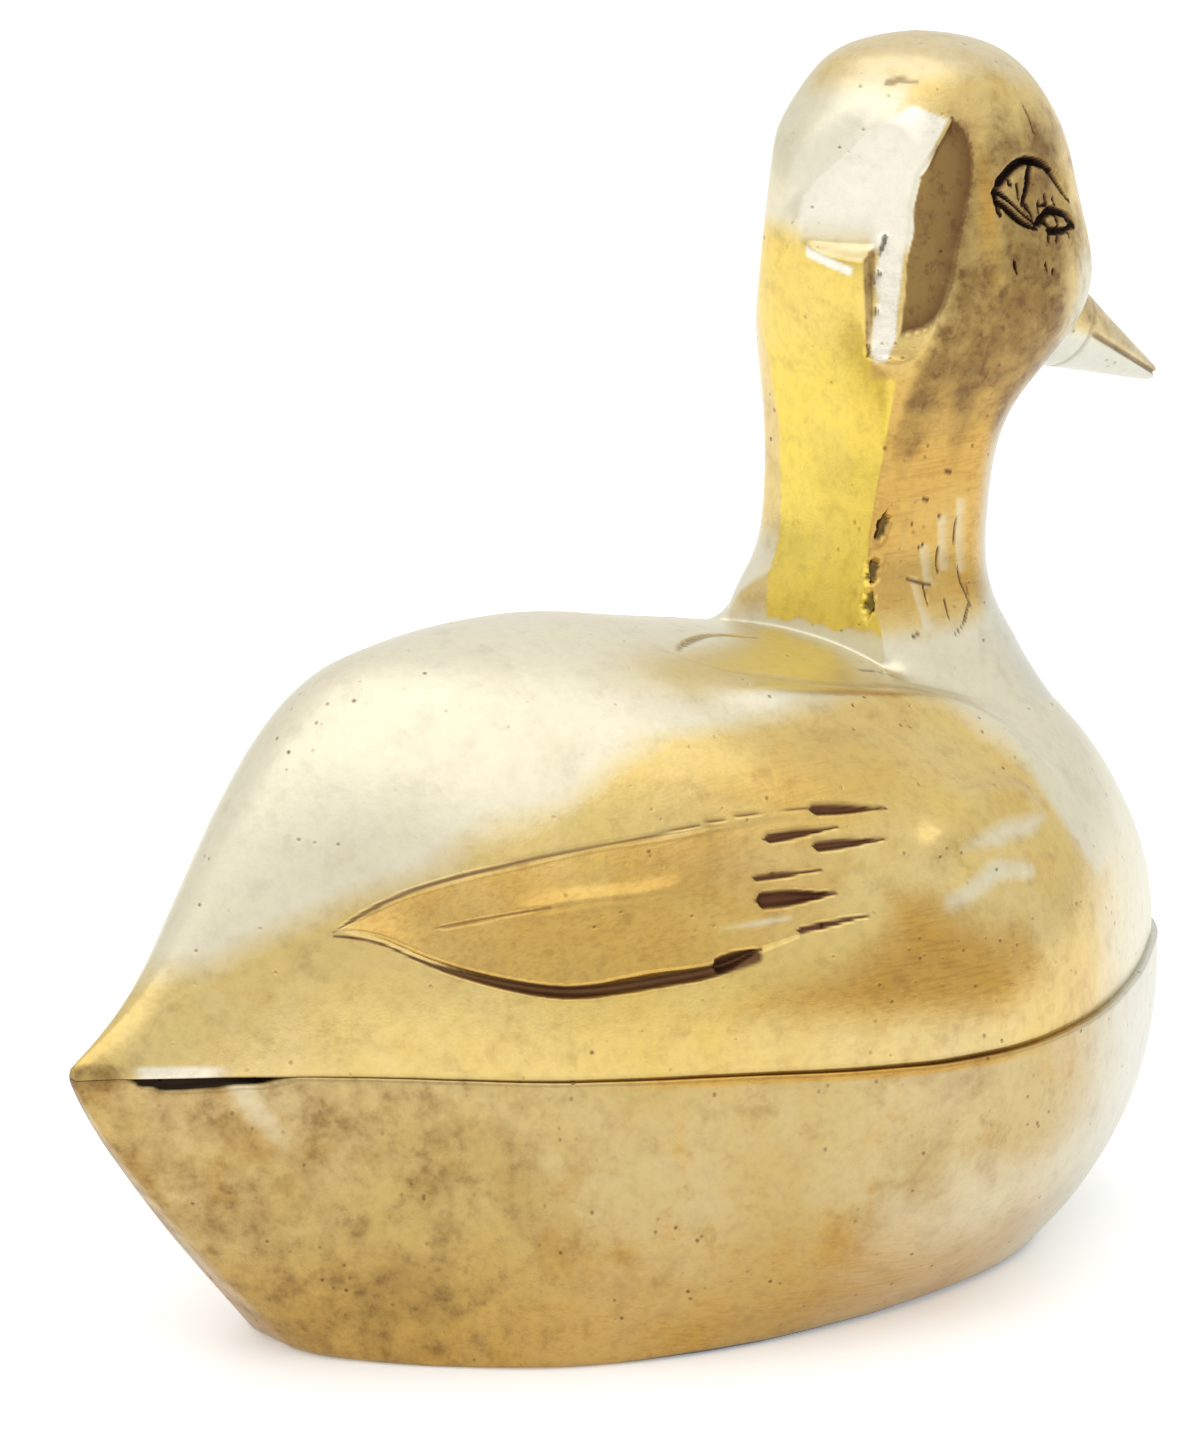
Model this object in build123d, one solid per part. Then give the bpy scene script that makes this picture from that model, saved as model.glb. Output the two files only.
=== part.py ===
from build123d import *
import os
from math import cos, copysign, pi, radians, sin

# Body lengths
foot_length = 93.0
foot_half_width = 30.8
tail_overhang = 25.0
breast_overhang = 24.2
body_half_width = 45.0
waterline_height = 32.4
back_height = 42.4
seam_slope = 1.2

# Neck and head lengths, and where the neck stands along the body and up the back
neck_along_share = 0.777
neck_up_share = 0.8915
neck_and_head_height = 64.4
head_half_length = 19.2
head_half_width = 16.4

# Casting walls, seats and clearances
wall = 3.0
tail_wall_share = 2.2
rim_ledge = 0.9
nose_size = 0.4
braze_gap = 0.12
lip_depth = 3.2
lip_thickness = 1.8
spigot_radius = 7.0
spigot_length = 9.0
foot_edge_radius = 1.0
vent_radius = 1.5
vent_forward = 12.0

# Bill
bill_length = 18.4
bill_half_width = 6.4
bill_half_height = 5.6
bill_droop = 27.0
bill_forward_share = 0.9375
bill_up_share = 0.48
bill_tenon_radius = 2.2
bill_tenon_length = 5.0
bill_tenon_start_share = 0.3
mouth_width = 0.5
mouth_depth = 0.5

# Carving
carving_depth = 0.8
wing_slide = 2.2
wing_sink = 0.5
groove_width = 1.1
stroke_width = 0.9
stroke_taper_share = 0.5
eye_length = 13.4
eye_height = 7.2
eye_forward_share = 0.307
eye_up_share = 0.73
eye_tilt = -20.0
lid_width = 0.9
pupil_width = 1.6
pupil_height = 3.6
brow_length = 3.4
brow_forward_share = 0.3125
brow_up_share = 0.857
brow_tilt = -70.0
facet_depth = 1.2
facet_turn = 50.0
facet_tilt = 6.0
facet_height_share = 0.53
facet_up_share = 0.45

# Body stations from tail to breast: place along the body, half width, crown, slope of the rib's foot
BODY_STATION_SHARES = (
    (0.00, 0.015, 0.03, 0.85),
    (0.06, 0.12, 0.21, 0.80),
    (0.13, 0.25, 0.58, 0.68),
    (0.21, 0.43, 0.885, 0.60),
    (0.30, 0.65, 0.98, 0.54),
    (0.42, 0.83, 1.00, 0.50),
    (0.52, 0.96, 0.955, 0.49),
    (0.62, 1.00, 0.90, 0.49),
    (0.74, 0.88, 0.84, 0.48),
    (0.85, 0.64, 0.755, 0.46),
    (0.93, 0.41, 0.52, 0.46),
    (0.98, 0.22, 0.28, 0.48),
    (1.00, 0.00, 0.00, 0.50),
)

# Foot stations that answer the body stations: place along the foot, half width
FOOT_STATION_SHARES = (
    (0.00, 0.12),
    (0.01, 0.22),
    (0.04, 0.36),
    (0.11, 0.58),
    (0.21, 0.81),
    (0.36, 0.965),
    (0.50, 1.00),
    (0.63, 0.98),
    (0.77, 0.90),
    (0.88, 0.78),
    (0.95, 0.63),
    (0.985, 0.42),
    (1.00, 0.00),
)

# Swell of the hull's sides above the foot, at the tail and at the breast
tail_swell = 1.2
breast_swell = 3.3
HULL_LEVEL_SHARES = (0.0, 0.12, 0.32, 0.62, 1.0)

# Spans between the points of a rib, and points round the neck
RIB_SPANS = 8
RING_POINTS = 16

# Neck stations from the foot of the neck up: height, lean, half length, half width, squareness
NECK_STATION_SHARES = (
    (0.00, -0.31, 0.775, 0.83, 2.4),
    (0.09, -0.25, 0.61, 0.65, 3.2),
    (0.20, -0.19, 0.57, 0.62, 3.6),
    (0.355, -0.11, 0.65, 0.71, 3.1),
    (0.525, 0.085, 0.975, 0.96, 2.2),
    (0.68, 0.065, 0.99, 0.93, 2.1),
    (0.805, 0.03, 0.93, 0.85, 2.0),
    (0.905, 0.03, 0.725, 0.70, 2.0),
    (0.97, 0.01, 0.46, 0.465, 2.0),
)
COLLAR_STATION_SHARES = (
    (-0.21, -0.08, 0.90, 1.03, 2.0),
    (-0.10, -0.19, 0.89, 0.94, 2.1),
    NECK_STATION_SHARES[0],
)

# Wing outline on the side view: place along the body, height over the seam as a share of the crown
WING_UPPER_SHARES = ((0.17, 0.365), (0.23, 0.47), (0.29, 0.53), (0.38, 0.59), (0.47, 0.62), (0.55, 0.60))
WING_LOWER_SHARES = ((0.195, 0.35), (0.25, 0.28), (0.30, 0.24), (0.355, 0.25), (0.43, 0.31))
WING_FRONT_SHARES = ((0.59, 0.52), (0.56, 0.38), (0.50, 0.31))
FEATHER_LINE_SHARES = ((0.23, 0.36), (0.29, 0.42), (0.355, 0.45))

# Feather cuts: place along the body, height, length as a share of the body, tilt in degrees
FEATHER_CUT_SHARES = (
    (0.53, 0.615, 0.060, 4),
    (0.485, 0.57, 0.050, 0),
    (0.525, 0.545, 0.055, -3),
    (0.505, 0.505, 0.030, -4),
    (0.465, 0.49, 0.045, 2),
    (0.475, 0.44, 0.058, 2),
    (0.495, 0.365, 0.050, 8),
)

# Two lines of the shoulder feather in plan: place along the body, distance from the middle
SHOULDER_INNER_SHARES = ((0.49, 0.27), (0.52, 0.18), (0.58, 0.105), (0.63, 0.12), (0.66, 0.19))
SHOULDER_OUTER_SHARES = ((0.495, 0.30), (0.54, 0.375), (0.59, 0.41), (0.63, 0.405))

# Bill sections from behind the root to the tip: along the bill, half width, half height
BILL_STATION_SHARES = (
    (-0.35, 1.0, 1.0),
    (0.0, 1.0, 1.0),
    (0.4, 0.76, 0.70),
    (0.8, 0.46, 0.36),
    (1.0, 0.28, 0.19),
)

tail_x = -foot_length / 2 - tail_overhang
breast_x = foot_length / 2 + breast_overhang
body_length = breast_x - tail_x
seam_place = Pos(0, 0, waterline_height) * Rot(0, seam_slope, 0)
neck_forward = tail_x + body_length * neck_along_share
neck_foot_height = waterline_height + back_height * neck_up_share


def half_outline(shares, rear, front, half_width):
    """Plan points of one side, from the tail to the breast."""
    return [(rear + (front - rear) * s[0], half_width * s[1]) for s in shares]


def closed_outline(points):
    """Plan face with a blunt tail and a round breast."""
    near = [(x, -y) for x, y in points[:-1]]
    side = Spline(*points, *reversed(near))
    return make_face([side, Line(near[0], points[0])])


def waterline_points(inset, tail_inset):
    return half_outline(BODY_STATION_SHARES, tail_x + tail_inset, breast_x - inset, body_half_width - inset)


def foot_points(inset):
    half = foot_length / 2 - inset
    return half_outline(FOOT_STATION_SHARES, -half, half, foot_half_width - inset)


def hull_level(share, inset, tail_inset):
    """Plan outline of the hull at one level between foot and waterline."""
    low = foot_points(inset)
    high = waterline_points(inset, tail_inset)
    points = []
    for number, (a, b) in enumerate(zip(low, high)):
        along = number / (len(low) - 1)
        swell = tail_swell + (breast_swell - tail_swell) * along
        reach = 1 - (1 - share) ** swell
        points.append((a[0] + (b[0] - a[0]) * reach, a[1] + (b[1] - a[1]) * reach))
    return closed_outline(points)


def hull_form(inset, tail_inset):
    """Bowl from the floor at the inset's height up to the sloping waterline."""
    levels = []
    for share in HULL_LEVEL_SHARES:
        height = inset + (waterline_height - inset) * share
        place = Pos(0, 0, height) * Rot(0, seam_slope * share, 0)
        levels.append(place * hull_level(share, inset, tail_inset))
    return loft(levels)


def rib(station, rear, front, half_width, crown):
    """Arched cross-section of the upper body on the seam."""
    half = max(half_width * station[1], nose_size)
    height = max(crown * station[2], nose_size)
    points = []
    for number in range(RIB_SPANS + 1):
        turn = pi * number / RIB_SPANS - pi / 2
        points.append((half * sin(turn), height * max(cos(turn), 0) ** (2 * station[3])))
    arch = Spline(*points)
    foot = Line(points[-1], points[0])
    return Plane.YZ.offset(rear + (front - rear) * station[0]) * make_face([arch, foot])


def body_form(inset, tail_inset):
    """Domed upper body in the seam's own frame, tail ribs to the breast point."""
    rear = tail_x + tail_inset
    front = breast_x - inset
    ribs = [
        rib(station, rear, front, body_half_width - inset, back_height - inset + rim_ledge)
        for station in BODY_STATION_SHARES
    ]
    return loft(ribs)


def neck_ring(station, inset):
    """Level section of the neck or head."""
    height, lean, half_length, half_width, squareness = station
    a = head_half_length * half_length - inset
    b = head_half_width * half_width - inset
    points = []
    for number in range(RING_POINTS):
        turn = 2 * pi * number / RING_POINTS
        x = copysign(abs(cos(turn)) ** (2 / squareness), cos(turn))
        y = copysign(abs(sin(turn)) ** (2 / squareness), sin(turn))
        points.append((a * x, b * y))
    ring = make_face(Spline(*points, periodic=True))
    centre = neck_forward + head_half_length * lean
    return Pos(centre, 0, neck_foot_height + neck_and_head_height * height) * ring


def head_form(inset):
    rings = [neck_ring(station, inset) for station in NECK_STATION_SHARES]
    top = neck_foot_height + neck_and_head_height - inset
    return loft([*rings, Vertex(neck_forward, 0, top)])


def both_sides(shape):
    return shape + mirror(shape, Plane.XZ)


def side_prism(sketch):
    """Carving sketch on the side view, pushed out through the right flank and its mirror image."""
    return both_sides(extrude(Plane.XZ * sketch, body_half_width * 2))


def head_point(forward_share, up_share):
    """Point on the side view of the neck and head."""
    x = neck_forward + head_half_length * forward_share
    return x, neck_foot_height + neck_and_head_height * up_share


def side_point(share):
    """Point on the side view in the seam's frame."""
    return tail_x + body_length * share[0], back_height * share[1]


def wing_sketch():
    """Leaf-shaped wing, tip towards the tail."""
    upper = [side_point(share) for share in WING_UPPER_SHARES]
    front = [side_point(share) for share in WING_FRONT_SHARES]
    lower = [side_point(share) for share in WING_LOWER_SHARES]
    nose = Spline(upper[-1], *front, lower[-1])
    tip = Line(lower[0], upper[0])
    return make_face([Spline(*upper), nose, Spline(*lower), tip])


def plan_point(share):
    """Point on the right half of the plan."""
    return tail_x + body_length * share[0], -body_half_width * share[1]


def groove_sketch(points, width):
    """Carved line that runs out to a point at its start and end."""
    middle = [(x, y - width) for x, y in points[1:-1]]
    return make_face([Spline(*points), Spline(points[0], *middle, points[-1])])


def stroke_sketch(length):
    """One cut of the graver, blunt at the rear and drawn out to the front."""
    half = stroke_width / 2
    taper = length / 2 * stroke_taper_share
    outline = Polyline(
        (-length / 2, -half),
        (-length / 2, half),
        (0, half),
        (length / 2, half * stroke_taper_share),
        (taper, -half),
        close=True,
    )
    return make_face(outline)


def feather_cut_sketch(cut):
    x, z = side_point(cut)
    return Pos(x, z) * Rot(0, 0, cut[3]) * stroke_sketch(body_length * cut[2])


def carving():
    """Grooves round the wing, between its feathers and along the shoulder feather, right through."""
    tools = [side_prism(feather_cut_sketch(cut)) for cut in FEATHER_CUT_SHARES]
    lines = (
        (WING_LOWER_SHARES, groove_width),
        (WING_UPPER_SHARES, stroke_width),
        (FEATHER_LINE_SHARES, stroke_width),
    )
    for shares, width in lines:
        tools.append(side_prism(groove_sketch([side_point(share) for share in shares], width)))
    for shares in (SHOULDER_INNER_SHARES, SHOULDER_OUTER_SHARES):
        line = groove_sketch([plan_point(share) for share in shares], stroke_width)
        tools.append(both_sides(extrude(line, body_length, both=True)))
    return tools


def carved_body():
    """Outer form with wings proud at the rear that run out forward, and grooves down to a core."""
    form = body_form(rim_ledge, 0)
    core = body_form(rim_ledge + carving_depth, carving_depth)
    wings = Pos(-wing_slide, 0, -wing_sink) * form & side_prism(wing_sketch())
    return form + wings - carving() + core


def seat_lip():
    """Lip under the upper casting, inside the hull's rim."""
    outer = wall + braze_gap
    inner = outer + lip_thickness
    ring = hull_form(outer, outer * tail_wall_share) - hull_form(inner, inner * tail_wall_share)
    slab = Box(body_length, body_half_width * 2, lip_depth, align=(Align.CENTER, Align.CENTER, Align.MAX))
    return ring & (seam_place * slab)


def spigot(radius, length):
    centre = neck_forward + head_half_length * NECK_STATION_SHARES[0][1]
    return Pos(centre, 0, neck_foot_height) * Cylinder(
        radius, length, align=(Align.CENTER, Align.CENTER, Align.MAX)
    )


def collar():
    """Flare that carries the neck, rising out of the shoulders."""
    return loft([neck_ring(station, 0) for station in COLLAR_STATION_SHARES])


def lower_hull():
    """Bowl casting with a flat foot and a vent hole in its floor."""
    hull = hull_form(0, 0)
    hull = fillet(hull.faces().sort_by(Axis.Z)[0].edges(), foot_edge_radius)
    hull -= hull_form(wall, wall * tail_wall_share)
    return hull - Pos(vent_forward, 0, 0) * Cylinder(vent_radius, waterline_height)


def upper_body():
    """Cover casting: back, breast, wings and the foot of the neck."""
    cavity = rim_ledge + wall
    body = seam_place * carved_body() + collar()
    body -= seam_place * body_form(cavity, cavity * tail_wall_share)
    body += seat_lip()
    return body - spigot(spigot_radius + braze_gap, spigot_length + braze_gap)


def flat_cutter(reach, height, tilt):
    """Block whose front face stands off the neck axis on the tail side."""
    block = Box(head_half_length, head_half_length * 2, height, align=(Align.MAX, Align.CENTER, Align.MIN))
    return Pos(-reach, 0, 0) * Rot(0, tilt, 0) * block


def head_facets():
    """Broad facets at the back corners of the head."""
    turn = radians(facet_turn)
    reach = ((head_half_length * cos(turn)) ** 2 + (head_half_width * sin(turn)) ** 2) ** 0.5
    level = neck_foot_height + neck_and_head_height * facet_up_share
    block = flat_cutter(reach - facet_depth, neck_and_head_height * facet_height_share, facet_tilt)
    return both_sides(Pos(neck_forward, 0, level) * Rot(0, 0, facet_turn) * block)


def eye_sketch():
    """Almond lids round a long pupil."""
    half = eye_length / 2
    almond = make_face([
        ThreePointArc((-half, 0), (0, eye_height / 2), (half, 0)),
        ThreePointArc((half, 0), (0, -eye_height / 2), (-half, 0)),
    ])
    return almond - offset(almond, -lid_width) + Ellipse(pupil_width / 2, pupil_height / 2)


def face_cuts():
    """Eye and brow chiselled in both cheeks, stopped at a core."""
    eye = Pos(*head_point(eye_forward_share, eye_up_share)) * Rot(0, 0, eye_tilt) * eye_sketch()
    brow_place = Pos(*head_point(brow_forward_share, brow_up_share)) * Rot(0, 0, brow_tilt)
    brow = brow_place * stroke_sketch(brow_length)
    return side_prism(eye + brow) - head_form(carving_depth)


def bill_plane():
    turn = radians(bill_droop)
    root_x, root_z = head_point(bill_forward_share, bill_up_share)
    return Plane(origin=(root_x, 0, root_z), x_dir=(0, 1, 0), z_dir=(cos(turn), 0, -sin(turn)))


def bill_form(inset):
    sections = []
    for along, half_width, half_height in BILL_STATION_SHARES:
        section = Ellipse(bill_half_width * half_width - inset, bill_half_height * half_height - inset)
        sections.append(bill_plane().offset(bill_length * along) * section)
    return loft(sections)


def bill_tenon(radius, length):
    """Round tenon running back from the bill's root into the face."""
    start = bill_length * bill_tenon_start_share
    place = bill_plane().offset(start)
    return place * Cylinder(radius, start + length, align=(Align.CENTER, Align.CENTER, Align.MAX))


def bill():
    """Wedge bill that fits the curve of the face, with a tenon behind it."""
    piece = bill_form(0) - head_form(0)
    mouth = bill_plane() * Box(body_half_width, mouth_width, body_length)
    piece -= mouth - bill_form(mouth_depth)
    return piece + bill_tenon(bill_tenon_radius, bill_tenon_length)


def neck_and_head():
    """Neck and head casting with its spigot below."""
    head = head_form(0) - head_facets() - face_cuts()
    socket = bill_tenon(bill_tenon_radius + braze_gap, bill_tenon_length + braze_gap)
    return head + spigot(spigot_radius, spigot_length) - socket


os.makedirs("parts", exist_ok=True)
export_step(lower_hull(), "parts/lower_hull.step")
export_step(upper_body(), "parts/upper_body.step")
export_step(neck_and_head(), "parts/neck_and_head.step")
export_step(bill(), "parts/bill.step")
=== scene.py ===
import math

import bpy
import numpy as np
from mathutils import Matrix, Vector
from mathutils.bvhtree import BVHTree


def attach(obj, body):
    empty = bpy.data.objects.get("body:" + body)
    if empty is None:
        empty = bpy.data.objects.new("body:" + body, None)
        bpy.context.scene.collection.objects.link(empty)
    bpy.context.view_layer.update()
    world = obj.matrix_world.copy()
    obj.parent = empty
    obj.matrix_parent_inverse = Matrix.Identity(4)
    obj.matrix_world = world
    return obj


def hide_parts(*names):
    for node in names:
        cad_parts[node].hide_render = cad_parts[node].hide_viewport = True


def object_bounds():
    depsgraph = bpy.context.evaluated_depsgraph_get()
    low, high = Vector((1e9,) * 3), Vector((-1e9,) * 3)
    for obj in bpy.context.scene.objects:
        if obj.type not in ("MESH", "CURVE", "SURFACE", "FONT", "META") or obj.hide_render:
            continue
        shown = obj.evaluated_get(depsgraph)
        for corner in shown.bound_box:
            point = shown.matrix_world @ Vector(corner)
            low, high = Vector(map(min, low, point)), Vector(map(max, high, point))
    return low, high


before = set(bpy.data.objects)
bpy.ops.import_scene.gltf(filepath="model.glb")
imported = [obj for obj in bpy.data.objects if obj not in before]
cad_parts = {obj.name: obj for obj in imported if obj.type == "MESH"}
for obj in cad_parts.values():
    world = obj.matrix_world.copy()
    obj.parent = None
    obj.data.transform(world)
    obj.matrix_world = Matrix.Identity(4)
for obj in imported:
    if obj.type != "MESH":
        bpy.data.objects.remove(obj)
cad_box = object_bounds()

MM = 0.001

# Body in millimetres, as the castings are
FOOT_LENGTH = 93.0
FOOT_HALF_WIDTH = 30.8
FOOT_EDGE = 1.0
TAIL_OVERHANG = 25.0
BREAST_OVERHANG = 24.2
BODY_HALF_WIDTH = 45.0
WATERLINE = 32.4
BACK_HEIGHT = 42.4
SEAM_SLOPE = math.radians(1.2)
RIM_LEDGE = 0.9
NOSE_SIZE = 0.4
TAIL_X = -FOOT_LENGTH / 2 - TAIL_OVERHANG
BREAST_X = FOOT_LENGTH / 2 + BREAST_OVERHANG
BODY_LENGTH = BREAST_X - TAIL_X

# Body ribs from tail to breast: place along the body, half width, crown, slope of the rib's foot
BODY_RIBS = (
    (0.0, 0.015, 0.03, 0.85),
    (0.06, 0.12, 0.21, 0.8),
    (0.13, 0.25, 0.58, 0.68),
    (0.21, 0.43, 0.885, 0.6),
    (0.3, 0.65, 0.98, 0.54),
    (0.42, 0.83, 1.0, 0.5),
    (0.52, 0.96, 0.955, 0.49),
    (0.62, 1.0, 0.9, 0.49),
    (0.74, 0.88, 0.84, 0.48),
    (0.85, 0.64, 0.755, 0.46),
    (0.93, 0.41, 0.52, 0.46),
    (0.98, 0.22, 0.28, 0.48),
    (1.0, 0.0, 0.0, 0.5),
)

# Foot outline that answers the ribs: place along the foot, half width
FOOT_OUTLINE = (
    (0.0, 0.12), (0.01, 0.22), (0.04, 0.36), (0.11, 0.58), (0.21, 0.81), (0.36, 0.965), (0.5, 1.0),
    (0.63, 0.98), (0.77, 0.9), (0.88, 0.78), (0.95, 0.63), (0.985, 0.42), (1.0, 0.0),
)
TAIL_SWELL = 1.2
BREAST_SWELL = 3.3

# Neck and head in millimetres
NECK_X = TAIL_X + BODY_LENGTH * 0.777
NECK_FOOT_Z = WATERLINE + BACK_HEIGHT * 0.8915
NECK_HEAD_HEIGHT = 64.4
HEAD_HALF_LENGTH = 19.2
HEAD_HALF_WIDTH = 16.4

# Rings up the neck: height, lean, half length, half width, squareness behind, squareness in front
NECK_RINGS = (
    (-0.21, -0.08, 0.9, 1.03, 2.0, 2.0),
    (-0.1, -0.19, 0.89, 0.94, 2.2, 2.0),
    (0.0, -0.31, 0.775, 0.83, 2.6, 2.2),
    (0.09, -0.25, 0.61, 0.65, 5.0, 2.8),
    (0.2, -0.19, 0.57, 0.62, 6.5, 2.8),
    (0.355, -0.11, 0.65, 0.71, 5.0, 2.6),
    (0.525, 0.085, 0.975, 0.96, 2.6, 2.2),
    (0.68, 0.065, 0.99, 0.93, 2.2, 2.1),
    (0.805, 0.03, 0.93, 0.85, 2.0, 2.0),
    (0.905, 0.03, 0.725, 0.7, 2.0, 2.0),
    (0.97, 0.01, 0.46, 0.465, 2.0, 2.0),
)

# Bill in millimetres, and its sections: along the bill, half width, half height
BILL_LENGTH = 18.4
BILL_HALF_WIDTH = 6.4
BILL_HALF_HEIGHT = 5.6
BILL_DROOP = math.radians(27.0)
BILL_ROOT_X = NECK_X + HEAD_HALF_LENGTH * 0.9375
BILL_ROOT_Z = NECK_FOOT_Z + NECK_HEAD_HEIGHT * 0.48
BILL_SECTIONS = (
    (-0.3, 0.94, 0.94), (0.0, 1.0, 1.0), (0.4, 0.76, 0.7), (0.8, 0.46, 0.36), (1.0, 0.28, 0.19),
)

# Wing lines on the right flank, tip first, in millimetres
WING_UPPER = (
    (-46.9, -12.4, 48.5), (-42.8, -14.8, 51.3), (-36.6, -18.7, 53.9), (-30.3, -22.4, 55.6),
    (-22.6, -25.9, 57.0), (-12.7, -28.3, 57.8), (-4.8, -30.0, 58.4), (0.3, -31.3, 58.2),
)
WING_LOWER = (
    (-46.9, -12.4, 48.5), (-43.6, -15.1, 48.0), (-39.9, -17.9, 46.1), (-36.0, -21.3, 44.5),
    (-32.0, -24.7, 43.4), (-28.6, -27.1, 42.9), (-24.0, -31.3, 43.3), (-18.0, -33.7, 44.0),
    (-13.3, -34.4, 44.4), (-9.6, -35.7, 45.4),
)
WING_ROOT_LOWER = ((-4.0, -37.0, 47.0), (2.2, -39.2, 49.5), (9.0, -38.0, 52.0))
FEATHER_LINE = ((-39.5, -19.7, 49.2), (-36.3, -21.9, 50.0), (-32.8, -24.1, 50.7), (-29.1, -26.1, 51.3))
FEATHER_EDGE = ((-32.8, -24.1, 50.9), (-24.6, -26.9, 51.6), (-20.4, -30.0, 52.3), (-13.9, -31.7, 53.1))

# Cuts of the graver between the feathers: rear end, front end, width, depth
FEATHER_CUTS = (
    ((0.3, -31.3, 58.1), (9.4, -33.5, 57.7), 1.15, 0.7),
    ((-5.9, -32.2, 56.5), (2.6, -33.8, 56.8), 1.0, 0.6),
    ((-1.1, -34.3, 55.3), (7.4, -35.5, 55.0), 1.1, 0.7),
    ((-8.5, -33.6, 52.9), (-1.0, -35.7, 53.1), 0.7, 0.45),
    ((-8.7, -34.5, 50.7), (-0.3, -37.4, 50.8), 1.7, 1.0),
    ((-5.4, -37.2, 47.4), (3.4, -39.2, 48.3), 0.7, 0.5),
    ((-14.0, -34.2, 44.3), (-9.2, -35.8, 45.8), 1.5, 1.2),
)

SHOULDER_FEATHER_TOP = (
    (-2.6, -12.1, 72.0), (-0.4, -10.2, 72.2), (2.1, -8.5, 72.1), (8.3, -5.6, 71.3), (15.1, -5.7, 70.3),
)
SHOULDER_FEATHER_LOW = (
    (-2.6, -12.1, 72.0), (-0.7, -14.0, 71.0), (5.7, -16.2, 69.4), (16.2, -18.5, 66.7),
    (23.5, -17.9, 65.4), (28.9, -20.0, 62.8),
)
SHOULDER_SCRATCH = ((20.3, -14.1, 67.3), (23.6, -14.3, 66.7), (25.6, -15.9, 65.9))
SHOULDER_RIDGE = (
    (-4.6, -17.4, 69.4), (2.9, -19.9, 67.8), (14.1, -21.2, 66.0), (21.1, -21.0, 64.5),
    (29.1, -21.5, 61.9), (33.4, -24.9, 58.8), (37.1, -27.4, 55.4), (41.2, -27.7, 52.0),
)
WING_ROOT_UPPER = (
    (10.1, -37.5, 52.6), (15.0, -35.7, 53.8), (19.5, -33.5, 55.4), (25.0, -31.9, 55.7),
    (33.7, -29.8, 54.4),
)
WING_ROOT_BAND = ((12.7, -40.3, 48.1), (20.3, -37.7, 50.1), (26.5, -36.9, 49.0))

# Filed flats on the neck and head: outward direction, a point on the flat
NECK_FLAT = ((-0.963, -0.246, 0.113), (24.9, -10.6, 70.5))
FLAT_ACROSS = np.array([0.632, -0.768, 0.0]) / 0.9946
HEAD_FLAT = ((-0.768, -0.632, 0.105), (28.2, -10.2, 113.8))

# Scoop behind the eye, on the side view
SCOOP = (
    (35.1, 126.7), (36.4, 125.0), (36.6, 122.8), (36.1, 120.2), (35.3, 117.6), (34.4, 114.8),
    (33.5, 111.8), (32.8, 109.1), (31.6, 106.0), (30.2, 104.2), (28.0, 103.2), (28.3, 106.0),
    (28.7, 109.0), (29.0, 111.7), (29.6, 114.4), (29.8, 117.3), (30.5, 120.6), (32.4, 123.6),
)

# Freshly filed facet left of the scoop, painted white as its reflection, and the painted highlight of the
# edge under it: places across and up the flat
FACET = (
    (27.2, 128.2), (31.1, 126.5), (29.9, 123.6), (28.1, 120.6), (27.5, 117.3), (27.5, 114.4),
    (27.1, 111.7), (26.9, 109.0), (26.6, 105.8), (26.6, 102.9), (25.7, 100.5), (24.3, 100.2),
    (23.4, 101.4), (23.6, 104.3), (24.2, 107.2), (23.6, 109.0), (24.2, 112.6), (21.6, 112.0),
    (15.8, 113.6), (15.0, 114.6), (15.2, 117.8), (16.7, 119.9), (20.2, 123.0), (22.3, 125.2),
)
HEAD_STROKES = (
    (((29.8, -6.1, 130.0), (31.3, -7.0, 130.5), (32.6, -8.3, 130.2)), 0.9, 0.25, 0.5),
    (((21.5, -1.9, 117.2), (21.4, -0.9, 115.0)), 0.5, 0.2, 0.5),
    (((21.4, 0.4, 111.8), (21.4, -0.5, 113.2)), 0.5, 0.2, 0.6),
    (((22.6, -2.6, 121.6), (23.5, -4.2, 122.6)), 0.4, 0.15, 0.4),
    (((24.2, 1.5, 125.0), (23.6, -1.0, 124.0)), 0.4, 0.12, 0.3),
)
FACET_EDGE = ((15.8, 113.0), (21.9, 110.9), (21.7, 109.6), (16.1, 111.3))
FACET_CHIPS = (
    ((24.9, 114.2), (24.3, 112.0)), ((24.1, 110.3), (23.5, 108.4)), ((24.0, 106.4), (23.3, 103.9)),
    ((23.6, 102.6), (23.3, 101.0)),
)

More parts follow.
